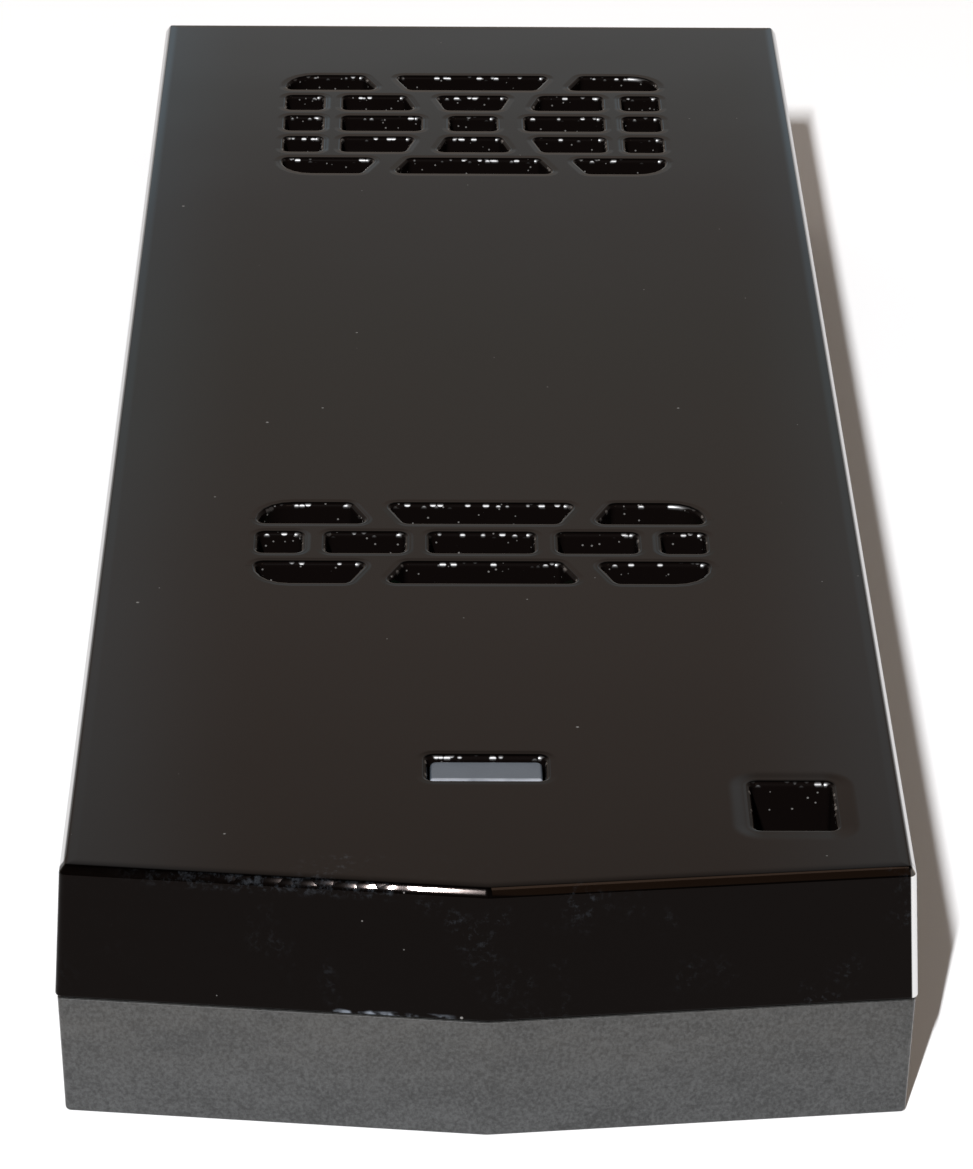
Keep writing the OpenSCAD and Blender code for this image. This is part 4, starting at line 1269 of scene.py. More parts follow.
FINISHES: dict[str, Finish] = {
    finish.name: finish
    for finish in (
        CoverGloss("gloss_black", (0.0004, 0.00025, 0.0002)),
        GrainedPlastic("matte_grey", (0.0305, 0.0312, 0.0315)),
        FrostedPipe("frosted_pipe", (0.058, 0.070, 0.086)),
        GlossPlastic("button_black", (0.012, 0.0105, 0.0095), roughness=0.24, dust=0.004),
        BoardLaminate("board_green", (0.006, 0.062, 0.026)),
        PlatedMetal("screw_steel", (0.62, 0.61, 0.58), roughness=0.3),
        PlatedMetal("plug_steel", (0.74, 0.72, 0.68), roughness=0.24),
        PlatedMetal("socket_steel", (0.72, 0.71, 0.68), roughness=0.27, brush=(0.05, 1.0, 1.0)),
        MouldedPolymer("black_nylon", (0.016, 0.016, 0.017)),
        PlatedMetal("gold_plate", (0.95, 0.66, 0.26), roughness=0.2, tarnish=0.08),
        MouldedPolymer("switch_grey", (0.14, 0.14, 0.14)),
        MouldedPolymer("led_white", (0.78, 0.76, 0.66), roughness=0.35),
        MouldedPolymer("chip_green", (0.02, 0.075, 0.035), roughness=0.4),
        MouldedPolymer("pad_pink", (0.62, 0.36, 0.4), roughness=0.8),
        PlatedMetal("sink_black", (0.045, 0.045, 0.047), roughness=0.48),
        PlatedMetal("turned_brass", (0.78, 0.57, 0.27), roughness=0.28),
        MouldedPolymer("fan_black", (0.018, 0.018, 0.019)),
        PlatedMetal("fan_steel", (0.17, 0.17, 0.175), roughness=0.36),
        MouldedPolymer("magnet_dark", (0.075, 0.075, 0.08), roughness=0.42),
        PlatedMetal("stator_steel", (0.4, 0.4, 0.41), roughness=0.4, brush=(1.0, 1.0, 0.1)),
        WoundWire("copper_wire", (0.82, 0.38, 0.17)),
        MouldedPolymer("wire_red", (0.45, 0.03, 0.025), roughness=0.42),
        MouldedPolymer("header_ivory", (0.72, 0.66, 0.5)),
        BoardLaminate("module_blue", (0.01, 0.03, 0.1), trace=(0.03, 0.075, 0.2), pitch=0.7),
        PlatedMetal("can_steel", (0.66, 0.66, 0.64), roughness=0.32),
        BoardLaminate("aerial_film", (0.02, 0.02, 0.024), trace=(0.3, 0.2, 0.09), pitch=1.6),
        MouldedPolymer("lead_black", (0.02, 0.02, 0.021), roughness=0.4),
        MouldedPolymer("chip_black", (0.022, 0.022, 0.024), roughness=0.55, grain_w=0.12),
        MouldedPolymer("choke_grey", (0.11, 0.11, 0.115), roughness=0.6),
        MouldedPolymer("capacitor_tan", (0.36, 0.25, 0.15), roughness=0.45),
    )
}


def slot_of(node: str) -> str:
    """The record's material slot of a node."""
    return next(part["material_slot"] for part in frame["record"]["subparts"] if part["node"] == node)


def dress(piece: Piece, node: str) -> None:
    """Gives a piece the finish of a node's material slot."""
    FINISHES[slot_of(node)].dress(piece)


def settle(piece: Piece, node: str) -> Piece:
    """Shades and dresses a piece that rides on a node's body and shows in its place.

    Args:
        piece: The new piece.
        node: The node that it stands for.

    Returns:
        The piece.
    """
    soften(piece)
    dress(piece, node)
    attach(piece, frame["nodes"][node]["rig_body"])
    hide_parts(node)
    slot_of(node)
    return piece


# Covers


@dataclass(frozen=True)
class Vent:
    """Rows of slots, mirrored about the middle row, with the four outer corners rounded.

    The halves of a row are those of its middle slot's two long edges, and its ribs stand beside that slot.
    """

    middle_y: float
    halves: tuple[Pair, ...]
    ribs: tuple[float, ...]
    width: float = 21.6
    slot_h: float = 2.0
    pitch: float = 3.2
    end_w: float = 2.05
    rib_w: float = 1.25
    slot_r: float = 0.3
    vent_r: float = 1.6

    def openings(self, nose_y: float) -> list[Opening]:
        """One opening for each slot of every row, in a case whose nose is at a place."""
        last = len(self.halves) - 1
        return [slot for k in range(-last, last + 1) for slot in self._row(k, abs(k) == last, nose_y)]

    def _row(self, k: int, outermost: bool, nose_y: float) -> list[Opening]:
        """The middle slot, the side slots and, in an inner row, the end slots of one row.

        Args:
            k: Number of the row, counted from the middle one.
            outermost: Whether the row is the first or the last.
            nose_y: Where the tip of the nose is.

        Returns:
            The row's openings.
        """
        (inner, outer), rib = self.halves[abs(k)], self.ribs[abs(k)]
        edge = self.slot_h / 2
        end_x = self.width / 2 - (0 if outermost else self.end_w + self.rib_w)
        plain = np.full(4, self.slot_r)
        ended = np.where(np.arange(4) == 2, self.vent_r, self.slot_r) if outermost else plain
        middle = np.array([[-inner, -edge], [inner, -edge], [outer, edge], [-outer, edge]])
        side = np.array([[inner + rib, -edge], [end_x, -edge], [end_x, edge], [outer + rib, edge]])
        made = [(middle, plain), (side, ended), (side[::-1] * [-1, 1], ended[::-1])]
        if not outermost:
            end = box_corners(self.end_w, self.slot_h)
            reach = np.array([(self.width - self.end_w) / 2, 0])
            made += [(end + reach, plain), (end - reach, plain)]
        turn = -1 if k < 0 else 1
        shift = np.array([0, nose_y + self.middle_y + k * self.pitch])
        return [Opening(turn * corners + shift, radii) for corners, radii in made]


@dataclass(frozen=True)
class Window:
    """A window through a wall of the case, with a small chamfer on the outside."""

    axis: Along
    side: int
    corners: Array
    radius: float
    chamfer: float = 0.14
    over: float = 0.5
    steps: int = 5

    def cut(self, surface: Surface, form: CaseForm) -> None:
        """Adds the window's cutting solid to a surface.

        The outline goes straight from inside the wall to a chamfer's depth short of its outer face, then
        widens by as much as it goes on.

        Args:
            surface: Where the solid is added.
            form: Sizes of the case.
        """
        radii = np.full(len(self.corners), self.radius)
        plain = rounded(self.corners, radii, self.steps)
        wide = rounded(self.corners, radii, self.steps, self.chamfer + self.over)
        if self.axis is Along.X:
            face = form.half_w - form.lean(plain[:, 1])
            inside = np.full(len(plain), form.inner_x - self.over)
        else:
            face = np.full(len(plain), form.end_y)
            inside = face - form.wall_t - self.over
        places = [self.side * inside, self.side * (face - self.chamfer), self.side * (face + self.over)]
        surface.solid(prism(self.axis, places, [plain, plain, wide]))


@dataclass(frozen=True)
class Ports:
    """Places and sizes of the windows that both covers share, and of the button's hole."""

    usb_at: Array
    micro_at: Array
    card_y: float
    plug_z: float
    button_y: float
    card_z: float = 6.85
    button_z: float = 8.3
    usb_size: Pair = (13.4, 6.02)
    usb_r: float = 0.5
    micro_size: Pair = (7.8, 2.85)
    micro_r: float = 0.45
    card_size: Pair = (11.6, 1.3)
    card_r: float = 0.3
    plug_size: Pair = (13.9, 4.45)
    plug_foot_w: float = 10.7
    plug_side_h: float = 2.0
    plug_r: float = 0.6
    plug_gap: float = 0.2
    button_size: Pair = (6.64, 2.64)
    button_chamfer: float = 0.1

    @classmethod
    def from_frame(cls) -> "Ports":
        """Takes each window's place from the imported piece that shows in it.

        Returns:
            The windows' places.
        """
        shown = ("usb_tongue", "micro_usb_tongue", "card_base", "plug_insulator", "power_button")
        usb, micro, card, plug, button = (sum(span(node)) / 2 for node in shown)
        return cls(usb_at=usb[1:], micro_at=micro[1:], card_y=card[1], plug_z=plug[2], button_y=button[1])

    def plug(self, grow: float = 0.0) -> Array:
        """Corners of the plug's outline, moved outwards by a distance.

        Args:
            grow: The distance.

        Returns:
            The corners, in X and Z.
        """
        w, h = np.array(self.plug_size) + 2 * grow
        corners = footed(w, h, self.plug_foot_w + 2 * grow, self.plug_side_h + grow)
        return corners + np.array([0, self.plug_z])

    def windows(self) -> list[Window]:
        """The windows of the sockets, the card slot and the plug.

        Returns:
            The four windows.
        """
        card_at = np.array([self.card_y, self.card_z])
        return [
            Window(Along.X, -1, box_corners(*self.usb_size) + self.usb_at, self.usb_r),
            Window(Along.X, -1, box_corners(*self.micro_size) + self.micro_at, self.micro_r),
            Window(Along.X, 1, box_corners(*self.card_size) + card_at, self.card_r),
            Window(Along.Y, 1, self.plug(self.plug_gap), self.plug_r),
        ]

    def button_hole(self) -> Window:
        """The pill-shaped hole of the power button.

        Returns:
            The hole.
        """
        w, h = self.button_size
        corners = box_corners(w, h) + np.array([self.button_y, self.button_z])
        return Window(Along.X, -1, corners, PILL * h, self.button_chamfer)


@dataclass
class TopCover:
    """The polished top cover with its vents, light slot and strap hole."""

    form: CaseForm
    ports: Ports
    outlet: Vent = Vent(33.2, halves=((2.5, 2.5), (3.7, 4.55)), ribs=(1.25, 1.9))
    inlet: Vent = Vent(87.4, halves=((1.3, 1.3), (1.5, 2.05), (3.65, 4.45)), ribs=(1.75, 1.95, 2.0))
    lip_w: float = 0.24
    lip_h: float = 0.22
    lip_steps: int = 8
    slot_dish: Pair = (0.3, 0.012)
    strap_dish: Pair = (0.8, 0.022)
    dish_steps: int = 7
    rebate: float = 0.7
    rebate_h: float = 0.9
    pocket_d: float = 0.4
    pocket_w: float = 4.2
    pocket_h: float = 1.0
    pocket_z: float = 1.4
    over: float = 0.5

    def _profile(self) -> tuple[Array, Array]:
        """Profiles of the walls, from the ceiling down the inside and from the seam up to the top face.

        Returns:
            Insets and heights of the inside and of the outside, one row for each ring.
        """
        f = self.form
        brk, sup = f.seam_break, f.support
        rebate_z = f.seam_z + self.rebate_h
        low_z = f.seam_z + f.seam_gap
        inside = rows(
            (f.wall_t, f.ceiling_z), (f.wall_t, rebate_z), (self.rebate, rebate_z), (self.rebate, low_z),
        )
        low_c, low_s = bend(-90, 0, f.break_steps)
        edge = f.top_edge()
        outside = rows(
            (brk * (1 - low_c), low_z + brk * (1 + low_s)),
            (0, low_z + brk + sup),
            (0, edge[0, 1] - sup),
            (edge[:, 0], edge[:, 1]),
            (edge[-1, 0] + sup, f.top_z),
        )
        return inside, outside

    def _lip(self, dish_w: float, dish_depth: float) -> Array:
        """Profile of a soft lip, from the top face down into a hole.

        A cosine ramp sinks the face by the dish's depth, and a quarter of an ellipse then turns down.

        Args:
            dish_w: Width of the dish round the lip.
            dish_depth: Depth of the dish.

        Returns:
            Distances outside the hole's wall and heights, one row for each ring.
        """
        f = self.form
        turn_c, turn_s = bend(90, 0, self.lip_steps)
        share = np.linspace(0, 1, self.dish_steps)
        edge_z = f.top_z - dish_depth
        return rows(
            (self.lip_w + dish_w + f.support, f.top_z),
            (self.lip_w + dish_w * (1 - share), f.top_z - dish_depth * (1 - np.cos(np.pi * share)) / 2),
            (self.lip_w * (1 - turn_c[1:]), edge_z - self.lip_h * (1 - turn_s[1:])),
            (0, edge_z - self.lip_h - f.support),
        )

    def build(self) -> list[Piece]:
        """Makes the cover.

        One skin runs from the ceiling down the inside, round the seam, up the outside and over the edge. Each
        hole has a skin of its own from its lip to the ceiling, and flat webs fill the faces between them.

        Returns:
            The cover.
        """
        f = self.form
        surface = Surface()
        inside, outside = self._profile()
        shell = surface.skin(np.concatenate([f.rings(inside, False), f.rings(outside, True)]))
        slots = [slot for vent in (self.outlet, self.inlet) for slot in vent.openings(f.nose_y)]
        slots.append(f.hole(f.light_size, f.light_at))
        through = np.concatenate([self._lip(*self.slot_dish), rows((0, f.ceiling_z))])
        holes = [surface.skin(slot.rings(through)) for slot in slots]
        collar = rows((0, f.seam_z), (f.collar_t, f.seam_z), (f.collar_t, f.ceiling_z))
        strap = f.hole(f.strap_size, f.strap_at)
        holes.append(surface.skin(strap.rings(np.concatenate([self._lip(*self.strap_dish), collar]))))
        surface.web(shell[-1], [hole[0] for hole in holes], True)
        surface.web(shell[0], [hole[-1] for hole in holes], False)
        cover = surface.piece("top_cover_moulding")
        carve(cover, self._cutter().piece("top_cutter", True), Carve.CUT)
        return [settle(cover, "top_cover")]

    def _cutter(self) -> Surface:
        """The windows in the walls and the pockets for the clips' barbs.

        Returns:
            The solids to cut out.
        """
        f = self.form
        surface = Surface()
        for window in [*self.ports.windows(), self.ports.button_hole()]:
            window.cut(surface, f)
        z, half = f.seam_z + self.pocket_z, self.pocket_w / 2
        for side, y in f.clips():
            low = (side * (f.inner_x - self.over), y - half, z)
            surface.solid(slab(low, (side * (f.inner_x + self.pocket_d), y + half, z + self.pocket_h)))
        return surface


@dataclass
class BottomCover:
    """The grained bottom cover with its tongue, bosses and clips."""

    form: CaseForm
    ports: Ports
    tongue_t: float = 0.5
    tongue_h: float = 0.8
    lip_r: float = 0.3
    lip_steps: int = 6
    bite: float = 0.2
    over: float = 0.5
    boss_r: float = 1.9
    boss_top: float = 4.9
    boss_at: tuple[Pair, ...] = ((-13.4, 7.4), (13.8, 37.2), (-13.8, 75.2), (13.8, 75.2))
    boss_steps: int = 40
    thread_r: float = 0.82
    thread_z: float = 1.8
    thread_steps: int = 24
    clip_t: float = 0.7
    clip_w: float = 4.0
    clip_h: float = 2.4
    clip_gap: float = 0.1
    clip_root: float = 0.4
    barb: float = 0.4
    barb_zs: tuple[float, float, float] = (1.5, 1.8, 2.3)
    relief_in: float = 0.4
    relief_half: float = 4.2
    relief_z: Pair = (0.001, 2.0)

    def build(self) -> list[Piece]:
        """Makes the cover.

        One skin runs from the bottom face round the edge, up the outside, over the seam and the tongue and
        down the inside to the floor. The strap hole's skin runs from the floor up its collar and down through
        the bottom face. Bosses and clips are joined on, and windows and screw holes are cut.

        Returns:
            The cover.
        """
        f = self.form
        surface = Surface()
        low_c, low_s = bend(-90, 0, f.edge_steps)
        top_c, top_s = bend(0, 90, f.break_steps)
        edge, brk, sup, step = f.edge_r, f.rim_break, f.support, f.seam_step
        outside = rows(
            (step + edge + sup, 0),
            (step + edge * (1 - low_c), edge * (1 + low_s)),
            (step, edge + sup),
            (step, f.seam_z - brk - sup),
            (step + brk * (1 - top_c), f.seam_z - brk * (1 - top_s)),
        )
        tongue_in = f.wall_t - self.tongue_t
        tongue_z = f.seam_z + self.tongue_h
        inside = rows(
            (tongue_in, f.seam_z), (tongue_in, tongue_z), (f.wall_t, tongue_z), (f.wall_t, f.skin_t),
        )
        shell = surface.skin(np.concatenate([f.rings(outside, True), f.rings(inside, False)]))
        lip_c, lip_s = bend(0, -90, self.lip_steps)
        through = rows(
            (f.collar_t, f.skin_t), (f.collar_t, f.seam_z), (0, f.seam_z), (0, self.lip_r + sup),
            (self.lip_r * (1 - lip_c), self.lip_r * (1 + lip_s)), (self.lip_r + sup, 0),
        )
        hole = surface.skin(f.hole(f.strap_size, f.strap_at).rings(through))
        surface.web(shell[0], [hole[-1]], False)
        surface.web(shell[-1], [hole[0]], True)
        cover = surface.piece("bottom_cover_moulding")
        carve(cover, self._fittings().piece("bottom_fittings", True), Carve.JOIN)
        carve(cover, self._cutter().piece("bottom_cutter", True), Carve.CUT)
        return [settle(cover, "bottom_cover")]

    def _fittings(self) -> Surface:
        """Screw bosses on the floor and clips with a barb along both walls.

        Returns:
            The solids to join on.
        """
        f = self.form
        surface = Surface()
        for x, y in self.boss_at:
            ends = (f.skin_t - self.bite, self.boss_top)
            surface.solid(post(x, f.nose_y + y, self.boss_r, ends, self.boss_steps))
        outer = f.inner_x - self.clip_gap
        inner, rim, tip = outer - self.clip_t, f.inner_x + self.bite, outer + self.barb
        high, root = self.clip_h, self.clip_root
        catch, crest, slope = self.barb_zs
        section = np.array([
            [inner, -high], [rim, -high], [rim, -root], [outer, -root], [outer, catch], [tip, catch],
            [tip, crest], [outer, slope], [outer, high], [inner, high],
        ]) + np.array([0, f.seam_z])
        for side, y in f.clips():
            ends = [y - self.clip_w / 2, y + self.clip_w / 2]
            surface.solid(prism(Along.Y, ends, 2 * [section * [side, 1]]))
        return surface

    def _cutter(self) -> Surface:
        """The windows in the walls, the screw holes and the gap in the tongue behind the button.

        Returns:
            The solids to cut out.
        """
        f = self.form
        surface = Surface()
        for window in self.ports.windows():
            window.cut(surface, f)
        for x, y in self.boss_at:
            ends = (self.thread_z, self.boss_top + self.over)
            surface.solid(post(x, f.nose_y + y, self.thread_r, ends, self.thread_steps))
        y, (low_z, high_z) = self.ports.button_y, self.relief_z
        low = (self.relief_in - f.half_w, y - self.relief_half, f.seam_z + low_z)
        surface.solid(slab(low, (self.over - f.inner_x, y + self.relief_half, f.seam_z + high_z)))
        return surface


@dataclass
class LightPipe:
    """The frosted light pipe: a head in its slot, a flange under the skin and a stem over the light."""

    form: CaseForm
    gap: float = 0.12
    sink: float = 0.2
    head_r: float = 0.3
    edge_r: float = 0.14
    edge_steps: int = 6
    stem_size: Pair = (3.0, 1.5)
    flange_t: float = 0.6
    steps: int = 5

    def build(self) -> list[Piece]:
        """Carries one profile of sizes, heights and growths round a rounded rectangle, stem first.

        Returns:
            The pipe.
        """
        f = self.form
        low, high = span("light_pipe")
        centre = (low + high)[:2] / 2
        stem, flange, head = self.stem_size, (high - low)[:2], np.array(f.light_size) - 2 * self.gap
        flange_z = f.ceiling_z - self.flange_t
        top, edge = f.top_z - self.sink, self.edge_r
        profile = [
            (stem, low[2], 0.0), (stem, flange_z, 0.0),
            (flange, flange_z, 0.0), (flange, f.ceiling_z, 0.0),
            (head, f.ceiling_z, 0.0), (head, top - edge - f.support, 0.0),
            *[(head, top - edge * (1 - s), -edge * (1 - c)) for c, s in zip(*bend(0, 90, self.edge_steps))],
            (head, top, -edge - f.support),
        ]
        radii = np.full(4, self.head_r)
        rings = [
            lift(rounded(box_corners(*size) + centre, radii, self.steps, grow), z)
            for size, z, grow in profile
        ]
        surface = Surface()
        surface.solid(np.stack(rings))
        return [settle(surface.piece("light_pipe_lens"), "light_pipe")]


@dataclass
class PowerButton:
    """The power button: a crowned pill through the wall, a flange behind it and a nib on the switch."""

    form: CaseForm
    ports: Ports
    size: Pair = (6.4, 2.4)
    edge_r: float = 0.3
    edge_steps: int = 6
    crown: float = 0.1
    crown_shares: tuple[float, ...] = (0.3, 0.6, 0.85)
    flange_t: float = 0.7
    flange_r: float = 0.4
    flange_gap: float = 0.1
    flange_over: float = 0.9
    nib_bite: float = 0.2
    nib_gap: float = 0.02
    steps: int = 9

    def build(self) -> list[Piece]:
        """Carries a profile of depths and growths round a pill, from the flange to the crowned face.

        The edge of the face is a quarter circle, and its crown rises by a sine of the way to the middle line.

        Returns:
            The button.
        """
        low, high = span("power_button")
        nib_low, nib_high = span("switch_plunger")
        w, h = self.size
        at = np.array([self.ports.button_y, self.ports.button_z])
        pill = (box_corners(w, h) + at, np.full(4, PILL * h))
        flange = (box_corners(high[1] - low[1], h + self.flange_over) + at, np.full(4, self.flange_r))
        flange_x = self.flange_gap - self.form.inner_x
        back_x = flange_x + self.flange_t
        shoulder, edge = low[0] + self.crown, self.edge_r
        profile = [(back_x, flange, 0.0), (flange_x, flange, 0.0), (flange_x, pill, 0.0)]
        for c, s in zip(*bend(0, 90, self.edge_steps)):
            profile.append((shoulder + edge * (1 - s), pill, -edge * (1 - c)))
        for share in self.crown_shares:
            rise = self.crown * math.sin(share * np.pi / 2)
            profile.append((shoulder - rise, pill, -edge - share * (PILL * h - edge)))
        surface = Surface()
        outlines = [rounded(corners, radii, self.steps, grow) for _, (corners, radii), grow in profile]
        surface.solid(prism(Along.X, [x for x, _, _ in profile], outlines))
        nib = Surface()
        nib_end = (nib_low[0] - self.nib_gap, nib_high[1], at[1])
        nib.solid(slab((back_x - self.nib_bite, nib_low[1], nib_low[2]), nib_end))
        button = surface.piece("power_button_cap", True)
        carve(button, nib.piece("button_nib", True), Carve.JOIN)
        return [settle(button, "power_button")]


# Plug and sockets


@dataclass
class Sleeve:
    """A tube folded from sheet metal, with rounded bends, windows and solder tabs."""

    node: str
    name: str
    axis: Along
    corners: Array
    bend_r: float
    sheet_t: float
    mouth: float
    back: float
    tabs: Sequence[tuple[Corner, Corner]]
    windows: Sequence[tuple[Corner, Corner]] = ()
    ledge: float = 0.05
    bend_steps: int = 6
    lip_steps: int = 7

    def build(self) -> Piece:
        """Makes the sleeve.

        Rings of the outline go from the back to the mouth on the outside, round the sheet's edge in a half
        circle, and back on the inside, one sheet further in.

        Returns:
            The sleeve.
        """
        radii = np.full(len(self.corners), self.bend_r)
        half = self.sheet_t / 2
        way = 1 if self.mouth > self.back else -1
        turn_c, turn_s = bend(90, -90, self.lip_steps)
        grow = np.concatenate([[0.0, 0.0], half * (turn_s - 1), [-self.sheet_t] * 2])
        near = self.mouth - way * half
        ledge = self.back + way * self.ledge
        place = np.concatenate([[self.back, ledge], near + way * half * turn_c, [ledge, self.back]])
        rings = [rounded(self.corners, radii, self.bend_steps, g) for g in grow]
        surface = Surface()
        surface.skin(prism(self.axis, place.tolist(), rings), loop=True)
        sleeve = surface.piece(self.name, True)
        for boxes, how in ((self.windows, Carve.CUT), (self.tabs, Carve.JOIN)):
            if boxes:
                tool = Surface()
                for low, high in boxes:
                    tool.solid(slab(low, high))
                carve(sleeve, tool.piece("sleeve_tool", True), how)
        return settle(sleeve, self.node)


@dataclass
class VideoPlug:
    """The video plug's sleeve with its four latch windows."""

    ports: Ports
    bend_r: float = 0.6
    sheet_t: float = 0.35
    reach: float = 11.9
    inset: float = 3.9
    latch_x: float = 3.1
    latch_y: float = 5.2
    latch_half: Pair = (1.0, 1.2)
    latch_h: float = 4.0
    tab_x: Pair = (5.55, 6.95)
    tab_z: Pair = (0.5, 0.85)
    bite: float = 0.2

    def build(self) -> list[Piece]:
        """Folds the sleeve from the plug's outline.

        Returns:
            The sleeve.
        """
        low, high = span("plug_shell")
        z, mouth = self.ports.plug_z, high[1]
        seat = mouth - self.reach - self.inset
        latch = np.array([*self.latch_half, self.latch_h])
        (inner, outer), (low_z, high_z) = self.tab_x, self.tab_z
        latches, tabs = [], []
        for side in SIDES:
            middle = np.array([side * self.latch_x, mouth - self.latch_y, z])
            latches.append((middle - latch, middle + latch))
            tabs.append(((side * inner, low[1], z + low_z), (side * outer, seat + self.bite, z + high_z)))
        sleeve = Sleeve(
            "plug_shell", "plug_sleeve", Along.Y, self.ports.plug(), self.bend_r, self.sheet_t,
            mouth=mouth, back=seat, tabs=tabs, windows=latches,
        )
        return [sleeve.build()]


@dataclass
class LargeSocket:
    """The large socket's sleeve with its tabs, its windows and the spring leaves in them."""

    ports: Ports
    size: Pair = (13.1, 5.72)
    length: float = 14.0
    bend_r: float = 0.7
    sheet_t: float = 0.3
    window_x: Pair = (3.0, 9.0)
    window_y: float = 3.0
    window_half: float = 1.0
    tab_xs: Pair = (5.6, 11.0)
    tab_l: float = 3.0
    tab_z: float = 5.9
    tab_out: float = 1.2
    bite: float = 0.2
    leaf_l: float = 5.4
    leaf_half: float = 0.8
    leaf_taper: float = 0.25
    leaf_t: float = 0.21
    leaf_steps: tuple[int, int] = (14, 5)
    leaf_sharp: float = 50.0
    bow: float = 0.75
    bow_share: float = 0.85
    bow_power: float = 1.4

    def build(self) -> list[Piece]:
        """Folds the sleeve and sets the leaves in its windows.

        Returns:
            The sleeve and the leaves.
        """
        low, _ = span("usb_shell")
        mouth, (y, z), (w, h) = low[0], self.ports.usb_at, self.size
        start, end = (mouth + x for x in self.window_x)
        half = self.window_half
        windows = [
            ((start, y + side * self.window_y - half, z - h), (end, y + side * self.window_y + half, z + h))
            for side in SIDES
        ]
        inner, outer = w / 2 - self.bite, w / 2 + self.tab_out
        low_z, high_z = self.tab_z, self.tab_z + self.sheet_t
        tabs = [
            ((mouth + x, y + side * inner, low_z), (mouth + x + self.tab_l, y + side * outer, high_z))
            for side in SIDES for x in self.tab_xs
        ]
        sleeve = Sleeve(
            "usb_shell", "usb_sleeve", Along.X, box_corners(w, h) + self.ports.usb_at, self.bend_r,
            self.sheet_t, mouth=mouth, back=mouth + self.length, tabs=tabs, windows=windows,
        )
        return [sleeve.build(), self._leaves(end)]

    def _leaves(self, back: float) -> Piece:
        """Four leaves that bow from the sleeve's windows into the socket.

        Each leaf runs from the back of its window towards the mouth, narrows evenly and dips by a sine of its
        length raised to a power.

        Args:
            back: Where the windows end.

        Returns:
            The leaves, as one piece.
        """
        y, z = self.ports.usb_at
        reach = (self.size[1] - self.sheet_t) / 2
        along, across = self.leaf_steps
        half = self.leaf_half
        u, v = np.meshgrid(np.linspace(0, 1, along), np.linspace(-half, half, across), indexing="ij")
        bow = self.bow * np.sin(np.pi * np.minimum(u / self.bow_share, 1.0) ** self.bow_power)
        surface = Surface()
        for side in SIDES:
            for up in SIDES:
                leaf_y = y + self.window_y * side + v * (1 - self.leaf_taper * u)
                grid = np.stack([back - self.leaf_l * u, leaf_y, z + up * (reach - bow)], -1)
                surface.sheet(grid if up > 0 else grid[:, ::-1])
        leaves = surface.piece("usb_springs")
        thick = leaves.modifiers.new("sheet", "SOLIDIFY")
        thick.thickness = self.leaf_t * MM
        thick.offset = 0.0
        soften(leaves, self.leaf_sharp)
        dress(leaves, "usb_shell")
        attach(leaves, frame["nodes"]["usb_shell"]["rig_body"])
        slot_of("usb_shell")
        return leaves


@dataclass
class SmallSocket:
    """The small socket's sleeve with its two tabs."""

    ports: Ports
    size: Pair = (7.5, 2.55)
    foot_w: float = 5.8
    side_h: float = 1.7
    bend_r: float = 0.45
    sheet_t: float = 0.3
    tab_l: float = 2.0
    tab_out: float = 1.4
    bite: float = 0.2

    def build(self) -> list[Piece]:
        """Folds the sleeve from the socket's outline.

        Returns:
            The sleeve.
        """
        low, high = span("micro_usb_shell")
        y, _ = self.ports.micro_at
        inner, outer = self.foot_w / 2 - self.bite, self.foot_w / 2 + self.tab_out
        back, low_z, high_z = high[0], low[2], low[2] + self.sheet_t
        tabs = [
            ((back - self.tab_l, y + side * inner, low_z), (back, y + side * outer, high_z))
            for side in SIDES
        ]
        corners = footed(*self.size, self.foot_w, self.side_h) + self.ports.micro_at
        sleeve = Sleeve(
            "micro_usb_shell", "micro_usb_sleeve", Along.X, corners, self.bend_r, self.sheet_t,
            mouth=low[0], back=back, tabs=tabs,
        )
        return [sleeve.build()]


# Other pieces


@dataclass
class Inside:
    """Every other solid: a merged copy with eased edges where it shows, and a finish on all of them."""

    ease: dict[str, float] = field(default_factory=lambda: {
        "plug_insulator": 0.08, "plug_contacts": 0.04, "usb_tongue": 0.12, "usb_contacts": 0.05,
        "micro_usb_tongue": 0.06, "micro_usb_contacts": 0.03, "card_cage": 0.06, "card_base": 0.08,
        "card_contacts": 0.03, "heat_sink": 0.12, "fan_cover": 0.08, "fan_housing": 0.1,
        "fan_impeller": 0.06, "fan_screws": 0.1, "heat_sink_screws": 0.1,
    })
    weld: float = 0.0005
    flat_angle: float = 1.0
    edge_angle: float = 40.0
    segments: int = 2

    def build(self) -> list[Piece]:
        """Eases the pieces that show through an opening and dresses the rest.

        Returns:
            The eased copies and the solids that are kept.
        """
        eased = [self._eased(node, width) for node, width in self.ease.items()]
        kept = {node: solid for node, solid in frame["nodes"].items() if not solid.hide_render}
        for node, solid in kept.items():
            dress(solid, node)
            slot_of(node)
        return [*eased, *kept.values()]

    def _eased(self, node: str, width: float) -> Piece:
        """A merged copy of a solid whose flat faces are whole again and whose edges are rounded.

        Args:
            node: The solid's node.
            width: Width of its rounded edges.

        Returns:
            The copy, which stands for the solid.
        """
        mesh = frame["nodes"][node].data.copy()
        solid = bmesh.new()
        solid.from_mesh(mesh)
        bmesh.ops.remove_doubles(solid, verts=solid.verts, dist=self.weld * MM)
        flat = math.radians(self.flat_angle)
        bmesh.ops.dissolve_limit(solid, angle_limit=flat, verts=solid.verts, edges=solid.edges)
        solid.to_mesh(mesh)
        solid.free()
        copy = link(f"{node}_eased", mesh)
        round_off = copy.modifiers.new("eased_edges", "BEVEL")
        round_off.width = width * MM
        round_off.segments = self.segments
        round_off.limit_method = "ANGLE"
        round_off.angle_limit = math.radians(self.edge_angle)
        round_off.harden_normals = True
        return settle(copy, node)


# Studio


